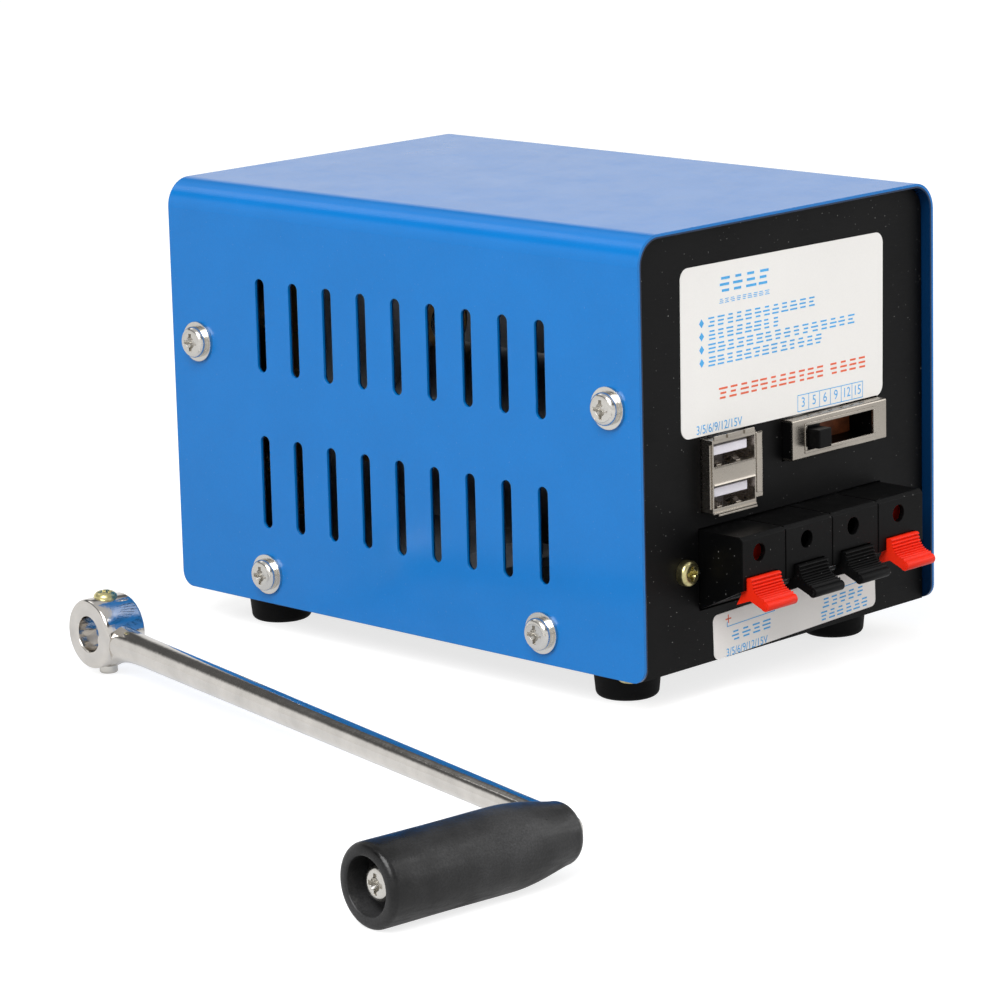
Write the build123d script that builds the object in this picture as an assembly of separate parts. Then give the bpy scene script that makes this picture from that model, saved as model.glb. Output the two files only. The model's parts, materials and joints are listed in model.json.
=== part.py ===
from build123d import *
import math
import os

# Hand crank generator: a sheet-metal case on four rubber feet, and its loose crank lying beside it.
# Millimetres. X is the case's width, the front panel faces -Y, the drive shaft leaves at the rear, +Z is up.

# Clearances
fit_gap = 0.3  # between sheets, windows and what stands in them
running_fit = 0.05  # radial, of a shaft in its bush
seat_gap = 0.02  # radial, of a piece that is fixed on a shaft
screw_gap = 0.05  # radial, of a screw in its thread
hole_gap = 0.25  # radial, of a screw in its clearance hole

# Case and cover
case_width = 100.0
case_length = 149.0
cover_height = 97.8
sheet = 1.0
bend_radius = 6.5
side_corner = 3.5
foot_height = 8.0
slot_length = 22.0
slot_width = 3.0
slot_pitch = 11.14
slot_count = 9
slot_row_y = -0.7
slot_row_heights = (74.15, 37.1)
panel_recess = 2.5
panel_thickness = 1.0
upper_screw_inset = 9.0
upper_screw_height = 68.2
lower_screw_inset = 30.2
lower_screw_height = 15.1
tab_height = 14.0
tab_depth = 13.0
base_tab_width = 16.0
base_tab_height = 13.0
tab_corner = 2.0

# M4 and M3 fasteners
m4_radius = 2.0
m3_radius = 1.5
washer_head_radius = 4.7
washer_head_rim = 0.8
washer_head_height = 2.9
m4_head_radius = 3.7
m4_head_height = 2.6
m3_head_radius = 2.9
m3_head_height = 2.2
recess_depth = 1.3
recess_wing = 0.9
cover_screw_length = 8.0
clinch_radius = 4.0
clinch_height = 3.0
m3_nut_flats = 5.5
m3_nut_height = 2.4

# Feet
foot_radius_top = 7.8
foot_radius_bottom = 7.0
foot_edge = 1.4
foot_inset_x = 14.5
foot_inset_y = 18.5
foot_bore = 3.6
foot_bore_depth = 4.2
foot_screw_length = 9.0

# Labels
label_thickness = 0.15
upper_label_width = 68.7
upper_label_height = 37.5
upper_label_x = 0.2
upper_label_z = 77.5
upper_label_turn = -0.6
label_corner = 2.5
lower_label_width = 56.0
lower_label_height = 10.2
lower_label_x = 3.3
lower_label_z = 13.9
lower_label_turn = 1.7
lower_label_corner = 1.5

# Double USB-A socket
usb_x = -20.5
usb_width = 14.6
usb_bottom = 42.2
usb_height = 16.2
usb_length = 17.0
usb_front = 3.0
usb_sheet = 0.35
usb_port_height = 5.1
usb_port_inset = 0.9
usb_lip = 0.7
usb_flange = 3.4
usb_flange_height = 14.6
tongue_width = 11.1
tongue_thickness = 1.8
tongue_drop = 0.8
tongue_back = 1.2
usb_base_length = 7.0
contact_count = 4
contact_pitch = 2.2
contact_width = 1.0
contact_thickness = 0.2

# Six-way slide switch
switch_left = -0.6
switch_width = 32.7
switch_bottom = 49.1
switch_height = 9.2
switch_front = 3.0
switch_sheet = 0.5
switch_back = 6.0
detents = 6
detent_pitch = 3.7
window_left = 4.8
window_height = 5.5
window_rise = 1.85
knob_width = 4.2
knob_height = 4.2
knob_proud = 3.5
knob_gap = 0.3
carrier_margin = 1.0
carrier_thickness = 1.4
switch_floor = 1.4
board_thickness = 0.8
detent_slit = 1.6
switch_pin = 0.5

# Spring terminal block
cell_count = 4
cell_pitch = 16.0
first_cell = -22.6
block_left = -28.9
block_right = 33.2
block_proud = 12.5
block_bottom = 20.5
block_top = 38.3
block_front_bottom = 26.5
block_back = 9.0
block_chamfer = 0.8
front_wall = 1.2
pocket_width = 10.4
pocket_back = 5.0
pocket_top = 36.8
lever_opening = 29.3
wire_hole_radius = 2.0
wire_hole_height = 34.2
wire_hole_offset = -0.8
ear_reach = 8.0
ear_thickness = 2.5
ear_bottom = 22.5
terminal_screw_height = 29.7
terminal_screw_reach = 4.8
terminal_screw_length = 8.0
tail_width = 3.0
tail_thickness = 0.8
tail_height = 31.0
tail_length = 7.5
spring_bottom = 26.5
spring_top = 35.0

# Levers: places are (proud of the panel, height)
lever_width = 9.8
pivot_proud = 8.2
pivot_height = 28.2
pivot_radius = 1.0
pivot_reach = 0.9
lever_arm = (7.2, 8.6)
lever_arm_top = 36.0
lever_crest = (13.5, 29.4)
lever_tip = (17.4, 23.5)
lever_tip_radius = 1.1
lever_bow = (14.6, 25.7)
rib_count = 6
rib_radius = 0.42

# Circuit board and what stands on it
board_sheet = 1.6
board_margin = 3.0
board_depth = 25.0
board_front_gap = 0.5
standoff_rows = (6.6, 22.0)
outer_standoff_beside_foot = 7.5
inner_standoff_x = 20.0
standoff_radius = 2.6
board_screw_length = 6.0
large_capacitor = (-39.0, 13.5, 5.0, 16.0)
small_capacitors = ((-8.5, 18.0, 3.15, 9.0), (42.0, 15.0, 3.15, 9.0))
inductor_place = (3.5, 15.5)
inductor_inner = 3.4
inductor_outer = 6.6
inductor_height = 5.0
coil_wall = 0.9
heat_sink_place = (31.0, 17.5)
heat_sink_width = 14.0
heat_sink_depth = 8.0
heat_sink_height = 18.0
fin_count = 5
fin_gap = 1.5
regulator_width = 10.0
regulator_thickness = 4.4
regulator_height = 15.0
diode_places = ((-28.0, 14.5), (-28.0, 17.6))
diode_radius = 1.4
diode_length = 6.0
resistor_radius = 0.9
resistor_length = 4.0

# Gear train
gear_module = 1.0
fine_module = 0.8
drive_teeth = 60
second_pinion_teeth = 12
second_teeth = 48
motor_pinion_teeth = 12
pressure_angle = 25.0
backlash = 0.28
addendum = 0.9
dedendum = 1.2
drive_axis_z = 69.0
second_shaft_angle = 225.0
drive_gear_width = 7.0
second_gear_width = 5.0
pinion_margin = 0.5
hub_radius = 9.0
hub_length = 4.0
lightening_radius = 5.0
lightening_count = 6
drive_shaft_radius = 5.0
stub_radius = 4.0
second_shaft_radius = 2.5
shaft_stub = 22.0
stub_chamfer = 0.6
shaft_flat = 0.5
shaft_flat_length = 8.0
drive_gear_front = 57.0
second_gear_front = 44.0

# Gearbox frame
plate_thickness = 2.0
front_plate_y = 33.0
plate_left = -43.5
plate_right = 36.0
plate_top = 101.0
plate_corner = 5.0
pillar_inset = 4.7
pillar_flats = 7.0
pillar_low = 19.0
plate_foot = 17.0
plate_foot_half = 25.0
foot_bolt_x = 15.0
foot_bolt_back = 9.0
gearbox_screw_length = 12.0
bush_wall = 2.0
bush_flange = 2.0
bush_flange_thickness = 1.3
clip_thickness = 0.8
clip_groove = 0.5
clip_radius = 7.8

# Motor used as the generator
can_radius = 21.0
can_wall = 1.8
can_length = 60.0
can_face = 1.6
bell_length = 7.0
bell_spigot = 3.0
bell_boss_radius = 6.0
bell_boss = 2.5
bell_cavity = 16.0
bell_floor = 2.0
magnet_thickness = 2.9
magnet_length = 48.0
magnet_angle = 130.0
magnet_front_gap = 5.4
core_radius = 15.6
core_length = 36.0
core_front = 11.4
pole_count = 5
pole_width = 5.0
pole_tip = 2.4
pole_hub = 6.0
pole_tip_angle = 60.0
coil_inner = 6.9
coil_outer = 11.2
coil_overhang = 4.0
coil_inner_half = 3.7
coil_outer_half = 6.6
commutator_radius = 5.0
commutator_length = 8.0
brush_length = 4.0
brush_half = 2.0
brush_gap = 0.3
motor_shaft_radius = 2.5
motor_bearing_radius = 5.5
motor_screw_spacing = 14.5
motor_screw_turn = 45.0
motor_screw_length = 6.0
terminal_tab = 0.6
terminal_tab_reach = 7.0
terminal_tab_x = 13.0

# Internal leads
lead_radius = 0.9
lead_bend = 1.6

# Crank: its own frame has the bore along x, the arm along y and its top along z
crank_place = (-95.8, 49.5)
crank_turn = 5.5
collar_radius = 8.0
collar_width = 10.6
crank_bore_radius = stub_radius + running_fit
arm_reach = 187.5
arm_lean = 24.1
arm_drop = 1.3
arm_root_radius = 3.5
arm_end_radius = 2.75
arm_overrun = 2.1
arm_flat_back = 1.8
neck_radius = 4.5
neck_length = 15.0
collar_screw_head = 2.75
collar_screw_head_height = 1.4
stub_screw_radius = 2.1
collar_height = 9.8

# Grip
grip_radius = 8.4
grip_length = 49.4
grip_end_radius = 6.3
grip_taper = 17.0
grip_end_round = 2.6
grip_front_round = 1.6
grip_recess_radius = 5.75
grip_recess_depth = 5.4
grip_gap = 0.4
grip_flat = 0.8
grip_bolt_head_radius = 3.6
grip_bolt_head_height = 2.8

# Places that follow from the sizes above
half_width = case_width / 2
half_length = case_length / 2
case_top = foot_height + cover_height
inner_half = half_width - sheet
chassis_half = inner_half - fit_gap
base_top = foot_height + panel_thickness
front_y = -half_length + panel_recess
rear_y = half_length - panel_recess
front_inner = front_y + panel_thickness
rear_inner = rear_y - panel_thickness
panel_top = case_top - sheet - fit_gap
tab_x = chassis_half - panel_thickness
cover_screw_places = [
    (side_y * (half_length - inset), height)
    for inset, height in ((upper_screw_inset, upper_screw_height), (lower_screw_inset, lower_screw_height))
    for side_y in (-1, 1)
]
foot_x = half_width - foot_inset_x
foot_y = half_length - foot_inset_y
foot_places = [(side_x * foot_x, side_y * foot_y) for side_x in (-1, 1) for side_y in (-1, 1)]

cell_centres = [first_cell + i * cell_pitch for i in range(cell_count)]
terminal_screw_places = (block_left - terminal_screw_reach, block_right + terminal_screw_reach)

pcb_top = usb_bottom
pcb_bottom = pcb_top - board_sheet
pcb_front = front_inner + board_front_gap
pcb_rear = pcb_front + board_depth
outer_standoff_x = foot_x + outer_standoff_beside_foot
standoff_places = [
    (side * x, pcb_front + row) for side in (-1, 1) for x, row in zip((outer_standoff_x, inner_standoff_x), standoff_rows)
]
board_half_width = outer_standoff_x + board_margin

knob_travel = (detents - 1) * detent_pitch
window_x = switch_left + window_left
window_width = knob_travel + knob_width + 2 * knob_gap
window_z = switch_bottom + window_rise
knob_x = window_x + knob_gap
knob_z = window_z + (window_height - knob_height) / 2
switch_inner_front = front_y - switch_front + switch_sheet

rear_plate_y = rear_inner - plate_thickness
drive_axis = (0.0, drive_axis_z)
first_distance = gear_module * (drive_teeth + second_pinion_teeth) / 2
second_distance = fine_module * (second_teeth + motor_pinion_teeth) / 2
second_axis = (
    drive_axis[0] + first_distance * math.cos(math.radians(second_shaft_angle)),
    drive_axis[1] + first_distance * math.sin(math.radians(second_shaft_angle)),
)
motor_axis = (second_axis[0] + second_distance, second_axis[1])
motor_screw_places = [
    (
        motor_axis[0] + side * motor_screw_spacing * math.cos(math.radians(motor_screw_turn)),
        motor_axis[1] + side * motor_screw_spacing * math.sin(math.radians(motor_screw_turn)),
    )
    for side in (-1, 1)
]
pillar_places = [
    (x, z)
    for x in (plate_left + pillar_inset, plate_right - pillar_inset)
    for z in (pillar_low, plate_top - pillar_inset)
]
can_rear = front_plate_y - can_length
bell_rear = can_rear - bell_length
can_bore = can_radius - can_wall
magnet_inner = can_bore - magnet_thickness
core_y = front_plate_y - core_front - core_length
commutator_y = core_y - coil_overhang - 1.0 - commutator_length
brush_y = commutator_y + (commutator_length - brush_length) / 2


def slab(x0, x1, y0, y1, z0, z1):
    """A block between two corners."""
    return Pos((x0 + x1) / 2, (y0 + y1) / 2, (z0 + z1) / 2) * Box(x1 - x0, y1 - y0, z1 - z0)


def rod_x(y, z, x0, x1, radius):
    return Pos((x0 + x1) / 2, y, z) * Rot(0, 90, 0) * Cylinder(radius, x1 - x0)


def rod_y(x, z, y0, y1, radius):
    return Pos(x, (y0 + y1) / 2, z) * Rot(90, 0, 0) * Cylinder(radius, y1 - y0)


def rod_z(x, y, z0, z1, radius):
    return Pos(x, y, (z0 + z1) / 2) * Cylinder(radius, z1 - z0)


def prism_x(face_yz, x0, x1):
    """A face drawn in (y, z), carried from x0 to x1."""
    return Pos(x0, 0, 0) * extrude(Plane.YZ * face_yz, amount=x1 - x0, dir=(1, 0, 0))


def prism_y(face_xz, y0, y1):
    """A face drawn in (x, z), carried from y0 to y1."""
    rear = Plane(origin=(0, y1, 0), x_dir=(1, 0, 0), z_dir=(0, -1, 0))
    return extrude(rear * face_xz, amount=y1 - y0, dir=(0, -1, 0))


def outline(*points):
    return Polygon(*points, align=None)


def hexagon_y(x, z, y0, y1, flats):
    face = Pos(x, z) * RegularPolygon(flats / 2, 6, major_radius=False)
    return prism_y(face, y0, y1)


def hexagon_z(x, y, z0, z1, flats):
    return Pos(x, y, z0) * extrude(RegularPolygon(flats / 2, 6, major_radius=False), amount=z1 - z0)


def group(shapes):
    """Separate solids in one node."""
    return Compound([solid for shape in shapes for solid in shape.solids()])


def cross_recess(depth, span):
    """The driver's recess, cut down from z = 0."""
    wing = Box(span, recess_wing, 2 * depth)
    return wing + Rot(0, 0, 90) * wing + Cone(span / 6, span / 3, depth, align=(Align.CENTER, Align.CENTER, Align.MAX))


def pan_screw(radius, head_radius, head_height, length, rim=0.0, rim_radius=0.0):
    """A screw that stands on z = 0, head up, its thread going down."""
    dome = Cylinder(head_radius, head_height, align=(Align.CENTER, Align.CENTER, Align.MIN))
    dome = fillet(dome.edges().group_by(Axis.Z)[-1], head_height * 0.45)
    screw = dome + Cylinder(radius, length, align=(Align.CENTER, Align.CENTER, Align.MAX))
    if rim:
        screw += Cylinder(rim_radius, rim, align=(Align.CENTER, Align.CENTER, Align.MIN))
    return screw - Pos(0, 0, head_height) * cross_recess(recess_depth, head_radius * 1.15)


def facing(x, y, z, direction):
    """Turns a piece made along z to point along a direction, and moves it."""
    return Plane(origin=(x, y, z), z_dir=direction).location


# Case


def make_cover():
    outer = slab(-half_width, half_width, -half_length, half_length, foot_height, case_top)
    outer = fillet(outer.edges().filter_by(Axis.Y).group_by(Axis.Z)[-1], bend_radius)
    inner = slab(-inner_half, inner_half, -case_length, case_length, 0, case_top - sheet)
    inner = fillet(inner.edges().filter_by(Axis.Y).group_by(Axis.Z)[-1], bend_radius - sheet)
    cover = outer - inner
    cover = fillet(cover.edges().filter_by(Axis.X).group_by(Axis.Z)[0], side_corner)
    slot = SlotOverall(slot_length, slot_width, rotation=90)
    slots = [
        Pos(slot_row_y + (i - (slot_count - 1) / 2) * slot_pitch, height) * slot
        for height in slot_row_heights
        for i in range(slot_count)
    ]
    cover -= [prism_x(face, -case_width, case_width) for face in slots]
    cover -= [rod_x(y, z, -case_width, case_width, m4_radius + hole_gap) for y, z in cover_screw_places]
    return cover


def make_chassis():
    """Base, front panel and rear panel bent from one sheet, with tabs for the cover's screws."""
    corner = bend_radius - sheet
    base = slab(-chassis_half, chassis_half, front_y, rear_y, foot_height, base_top)
    chassis = base
    for outer, inner in ((front_y, front_inner), (rear_y, rear_inner)):
        panel = slab(-chassis_half, chassis_half, min(outer, inner), max(outer, inner), foot_height, panel_top)
        chassis += fillet(panel.edges().filter_by(Axis.Y).group_by(Axis.Z)[-1], corner)
    tabs = []
    for side_x in (-1, 1):
        x0, x1 = sorted((side_x * tab_x, side_x * chassis_half))
        for side_y, inner in ((1, front_inner), (-1, rear_inner)):
            y0, y1 = sorted((inner, inner + side_y * tab_depth))
            half = tab_height / 2
            tab = slab(x0, x1, y0, y1, upper_screw_height - half, upper_screw_height + half)
            free_end = tab.edges().filter_by(Axis.X).sort_by(Axis.Y)
            tabs.append(fillet(free_end[-2:] if side_y > 0 else free_end[:2], tab_corner))
        for side_y in (-1, 1):
            middle = side_y * (half_length - lower_screw_inset)
            half = base_tab_width / 2
            tab = slab(x0, x1, middle - half, middle + half, base_top, base_top + base_tab_height)
            tabs.append(fillet(tab.edges().filter_by(Axis.X).group_by(Axis.Z)[-1], tab_corner))
    chassis += tabs
    cuts = [rod_x(y, z, -case_width, case_width, m4_radius + hole_gap) for y, z in cover_screw_places]
    cuts += [usb_window(fit_gap), switch_window(fit_gap), terminal_window(fit_gap)]
    cuts += [
        rod_y(x, terminal_screw_height, front_y - 1, front_inner + 1, m3_radius + hole_gap)
        for x in terminal_screw_places
    ]
    cuts += [rod_y(x, z, rear_inner - 1, rear_y + 1, m4_radius + hole_gap) for x, z in pillar_places]
    cuts.append(rod_y(*drive_axis, rear_inner - 1, rear_y + 1, drive_shaft_radius + bush_wall + seat_gap))
    base_holes = [(x, y, m3_radius) for x, y in foot_places + standoff_places]
    base_holes += [(side * foot_bolt_x, front_plate_y - foot_bolt_back, m4_radius) for side in (-1, 1)]
    cuts += [rod_z(x, y, foot_height - 1, base_top + 1, radius + hole_gap) for x, y, radius in base_holes]
    return chassis - cuts


def usb_window(gap):
    return slab(
        usb_x - usb_width / 2 - gap, usb_x + usb_width / 2 + gap,
        front_y - 1, front_inner + 1,
        usb_bottom - gap, usb_bottom + usb_height + gap,
    )


def switch_window(gap):
    return slab(
        switch_left - gap, switch_left + switch_width + gap,
        front_y - 1, front_inner + 1,
        switch_bottom - gap, switch_bottom + switch_height + gap,
    )


def terminal_window(gap):
    return slab(
        block_left - gap, block_right + gap,
        front_y - 1, front_inner + 1,
        block_bottom - gap, block_top + gap,
    )


def make_cover_screws():
    screw = pan_screw(m4_radius - screw_gap, m4_head_radius, washer_head_height, cover_screw_length,
                      washer_head_rim, washer_head_radius)
    return group(
        facing(side * half_width, y, z, (side, 0, 0)) * screw
        for side in (-1, 1)
        for y, z in cover_screw_places
    )


def make_clinch_nuts():
    """Threaded nuts pressed into the tabs, one behind each screw of the cover."""
    nuts = []
    for side in (-1, 1):
        for y, z in cover_screw_places:
            x0, x1 = sorted((side * tab_x, side * (tab_x - clinch_height)))
            nuts.append(rod_x(y, z, x0, x1, clinch_radius) - rod_x(y, z, x0 - 1, x1 + 1, m4_radius))
    return group(nuts)


def make_feet():
    foot = Cone(foot_radius_bottom, foot_radius_top, foot_height, align=(Align.CENTER, Align.CENTER, Align.MIN))
    foot = fillet(foot.edges().group_by(Axis.Z)[0], foot_edge)
    foot -= rod_z(0, 0, -1, foot_bore_depth, foot_bore) + rod_z(0, 0, 0, foot_height + 1, m3_radius + hole_gap)
    return group(Pos(x, y, 0) * foot for x, y in foot_places)


def make_m3_screws():
    """Screws up through the feet, into both ends of the standoffs and through the terminal block's ears."""
    foot_screw = m3_screw(foot_screw_length)
    board_screw = m3_screw(board_screw_length)
    ear_screw = m3_screw(terminal_screw_length)
    screws = [facing(x, y, foot_bore_depth, (0, 0, -1)) * foot_screw for x, y in foot_places]
    screws += [facing(x, y, pcb_top, (0, 0, 1)) * board_screw for x, y in standoff_places]
    screws += [facing(x, y, foot_height, (0, 0, -1)) * board_screw for x, y in standoff_places]
    screws += [facing(x, front_y, terminal_screw_height, (0, -1, 0)) * ear_screw for x in terminal_screw_places]
    return group(screws)


def m3_screw(length):
    return pan_screw(m3_radius - screw_gap, m3_head_radius, m3_head_height, length)


def make_m3_nuts():
    """Nuts over the feet and behind the terminal block's ears."""
    nuts = []
    for x, y in foot_places:
        nut = hexagon_z(x, y, base_top, base_top + m3_nut_height, m3_nut_flats)
        nuts.append(nut - rod_z(x, y, foot_height, base_top + 2 * m3_nut_height, m3_radius))
    start = front_inner + ear_thickness
    for x in terminal_screw_places:
        nut = hexagon_y(x, terminal_screw_height, start, start + m3_nut_height, m3_nut_flats)
        nuts.append(nut - rod_y(x, terminal_screw_height, start - 1, start + 2 * m3_nut_height, m3_radius))
    return group(nuts)


def make_label(width, height, corner, x, z, turn):
    face = Pos(x, z) * Rot(0, 0, turn) * RectangleRounded(width, height, corner)
    label = prism_y(face, front_y - label_thickness, front_y)
    return label - usb_window(fit_gap) - switch_window(fit_gap) - terminal_window(fit_gap)


# Double USB-A socket


def make_usb_shell():
    """Two stacked ports of thin folded sheet, open at the front, with spread lips."""
    x0, x1 = usb_x - usb_width / 2, usb_x + usb_width / 2
    z0, z1 = usb_bottom, usb_bottom + usb_height
    front = front_y - usb_front
    rear = front + usb_length
    shell = slab(x0, x1, front, rear, z0, z1)
    for port_z in usb_port_floors():
        shell -= slab(x0 + usb_sheet, x1 - usb_sheet, front - 1, rear - usb_sheet, port_z, port_z + usb_port_height)
    top_lip = slab(x0 + 1, x1 - 1, front, front + usb_sheet, z1 - usb_sheet, z1 + usb_lip)
    bottom_lip = slab(x0 + 2, x1 - 1, front, front + usb_sheet, z0 - usb_lip, z0 + usb_sheet)
    left_lip = slab(x0 - usb_lip, x0 + usb_sheet, front, front + usb_sheet, z0 + 1, z1 - 1)
    flange_z = (z0 + z1 - usb_flange_height) / 2
    flange = slab(x1 - usb_sheet, x1 + usb_flange, front + 1, front + 1 + usb_sheet, flange_z, flange_z + usb_flange_height)
    return shell + top_lip + bottom_lip + left_lip + flange


def usb_port_floors():
    low = usb_bottom + usb_port_inset
    high = usb_bottom + usb_height - usb_port_inset - usb_port_height
    return (low, high)


def make_usb_insulators():
    """White tongues, each with the base that holds it at the back of its port."""
    half = usb_width / 2 - usb_sheet - seat_gap
    rear = front_y - usb_front + usb_length - usb_sheet - seat_gap
    front = front_y - usb_front + tongue_back
    pieces = []
    for port_z in usb_port_floors():
        top = port_z + usb_port_height - tongue_drop
        tongue = slab(usb_x - tongue_width / 2, usb_x + tongue_width / 2, front, rear, top - tongue_thickness, top)
        tip = tongue.edges().filter_by(Axis.Z).group_by(Axis.Y)[0]
        tongue = chamfer(tip, 0.6)
        base = slab(usb_x - half, usb_x + half, rear - usb_base_length, rear,
                    port_z + seat_gap, port_z + usb_port_height - seat_gap)
        pieces.append(tongue + base)
    return group(pieces)


def make_usb_contacts():
    front = front_y - usb_front + tongue_back + 1.0
    rear = front_y - usb_front + usb_length - usb_sheet - seat_gap - usb_base_length
    strips = []
    for port_z in usb_port_floors():
        under = port_z + usb_port_height - tongue_drop - tongue_thickness
        for i in range(contact_count):
            x = usb_x + (i - (contact_count - 1) / 2) * contact_pitch
            half = contact_width / 2
            strips.append(slab(x - half, x + half, front, rear, under - contact_thickness, under))
    return group(strips)


# Six-way slide switch


def make_switch_frame():
    """Folded sheet over the switch's front, top and bottom, with a slit for each position."""
    x0, x1 = switch_left, switch_left + switch_width
    z0, z1 = switch_bottom, switch_bottom + switch_height
    front = front_y - switch_front
    rear = front_inner + switch_back - 1.0
    frame = slab(x0, x1, front, rear, z0, z1)
    frame = fillet(frame.edges().filter_by(Axis.X).group_by(Axis.Y)[0], switch_sheet)
    frame -= slab(x0 - 1, x1 + 1, front + switch_sheet, rear + 1, z0 + switch_sheet, z1 - switch_sheet)
    frame -= slab(window_x, window_x + window_width, front - 1, front + 1, window_z, window_z + window_height)
    for i in range(detents):
        x = knob_x + knob_width / 2 + i * detent_pitch
        half = detent_slit / 2
        frame -= slab(x - half, x + half, front + 1.1, front + 1.7, z1 - 1, z1 + 1)
    return frame


def make_switch_body():
    """Black base that fills the frame, with the well that the slider runs in."""
    z0, z1 = switch_bottom + switch_sheet + seat_gap, switch_bottom + switch_height - switch_sheet - seat_gap
    rear = front_inner + switch_back
    body = slab(switch_left, switch_left + switch_width, switch_inner_front + seat_gap, rear, z0, z1)
    well = switch_well()
    slots = [
        slab(x - switch_pin / 2, x + switch_pin / 2, rear - switch_floor, rear + 1, pin_z, pin_z + switch_pin)
        for x, pin_z in switch_pin_places()
    ]
    return body - well - slots


def switch_well():
    """Room behind the window for the slider's carrier over its whole travel."""
    margin = carrier_margin + fit_gap
    return slab(
        knob_x - margin, knob_x + knob_width + knob_travel + margin,
        front_y - switch_front, front_inner + switch_back - switch_floor,
        knob_z - margin, knob_z + knob_height + margin,
    )


def make_switch_board():
    """Brown insulating board with the fixed contacts, at the bottom of the well."""
    margin = carrier_margin + fit_gap - seat_gap
    rear = front_inner + switch_back - switch_floor
    return slab(
        knob_x - margin, knob_x + knob_width + knob_travel + margin,
        rear - board_thickness, rear,
        knob_z - margin, knob_z + knob_height + margin,
    )


def make_switch_slider():
    """Knob on a carrier plate that is wider than the window, with a stem down to the board."""
    front = front_y - switch_front - knob_proud
    carrier = switch_inner_front + fit_gap
    board = front_inner + switch_back - switch_floor - board_thickness - fit_gap
    knob = slab(knob_x, knob_x + knob_width, front, carrier + 0.1, knob_z, knob_z + knob_height)
    knob = fillet(knob.edges().group_by(Axis.Y)[0], 0.3)
    plate = slab(
        knob_x - carrier_margin, knob_x + knob_width + carrier_margin,
        carrier, carrier + carrier_thickness,
        knob_z - carrier_margin, knob_z + knob_height + carrier_margin,
    )
    stem = slab(knob_x + 0.6, knob_x + knob_width - 0.6, carrier, board, knob_z + 0.8, knob_z + knob_height - 0.8)
    return knob + plate + stem


def switch_pin_places():
    """(x, z) of the pins: one for each position, and the common one before them."""
    pin_z = switch_bottom + switch_height / 2 - switch_pin / 2
    return [(knob_x + knob_width / 2 + i * detent_pitch, pin_z) for i in range(-1, detents)]


def make_switch_pins():
    """Pins that leave the switch's back and turn down to the circuit board."""
    rear = front_inner + switch_back
    pins = []
    for x, pin_z in switch_pin_places():
        half = switch_pin / 2
        out = slab(x - half, x + half, rear - switch_floor, rear + 2, pin_z, pin_z + switch_pin)
        down = slab(x - half, x + half, rear + 2 - switch_pin, rear + 2, pcb_top, pin_z + switch_pin)
        pins.append(out + down)
    return group(pins)


# Spring terminal block


def proud(distance):
    """The y of a point that stands out of the front panel by a distance."""
    return front_y - distance


def make_terminal_block():
    """Body through the front panel, with ears behind it, a pocket for each lever and a hole for each wire."""
    x0, x1 = block_left, block_right
    rear = front_inner + block_back
    side = outline(
        (rear, block_bottom), (rear, block_top),
        (proud(block_proud - block_chamfer), block_top), (proud(block_proud), block_top - block_chamfer),
        (proud(block_proud), block_front_bottom), (front_y, block_bottom),
    )
    block = prism_x(side, x0, x1)
    ears = slab(x0 - ear_reach, x1 + ear_reach, front_inner, front_inner + ear_thickness, ear_bottom, block_top - 1)
    block += fillet(ears.edges().filter_by(Axis.Y), tab_corner)
    block -= [
        rod_y(x, terminal_screw_height, front_inner - 1, front_inner + ear_thickness + 1, m3_radius + hole_gap)
        for x in terminal_screw_places
    ]
    pocket = outline(
        (proud(block_proud + 1), 0), (proud(block_proud + 1), lever_opening),
        (proud(block_proud - front_wall), lever_opening), (proud(block_proud - front_wall), pocket_top),
        (proud(pocket_back), pocket_top), (proud(pocket_back), 0),
    )
    half = pocket_width / 2
    pivot_hole = half + pivot_reach
    for x in cell_centres:
        block -= prism_x(pocket, x - half, x + half)
        block -= rod_x(proud(pivot_proud), pivot_height, x - pivot_hole, x + pivot_hole, pivot_radius + running_fit)
        block -= rod_y(x + wire_hole_offset, wire_hole_height, proud(block_proud + 1),
                       proud(block_proud - front_wall - 1), wire_hole_radius)
        block -= contact_tail(x)
    seam = 0.25
    for i in range(1, cell_count):
        x = (cell_centres[i - 1] + cell_centres[i]) / 2
        block -= slab(x - seam, x + seam, proud(block_proud + 1), proud(block_proud - seam), 0, block_top + 1)
        block -= slab(x - seam, x + seam, proud(block_proud), front_y, block_top - seam, block_top + 1)
    return block


def contact_tail(x):
    half = tail_width / 2
    rear = front_inner + block_back + tail_length
    return slab(x - half, x + half, proud(pocket_back), rear, tail_height - tail_thickness, tail_height)


def make_terminal_contacts():
    """A spring strip at the back of each pocket, with its tail through the block."""
    clips = []
    for x in cell_centres:
        half = tail_width / 2
        front = proud(pocket_back + tail_thickness)
        spring = slab(x - half, x + half, front, proud(pocket_back), spring_bottom, spring_top)
        clips.append(contact_tail(x) + spring)
    return group(clips)


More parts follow.
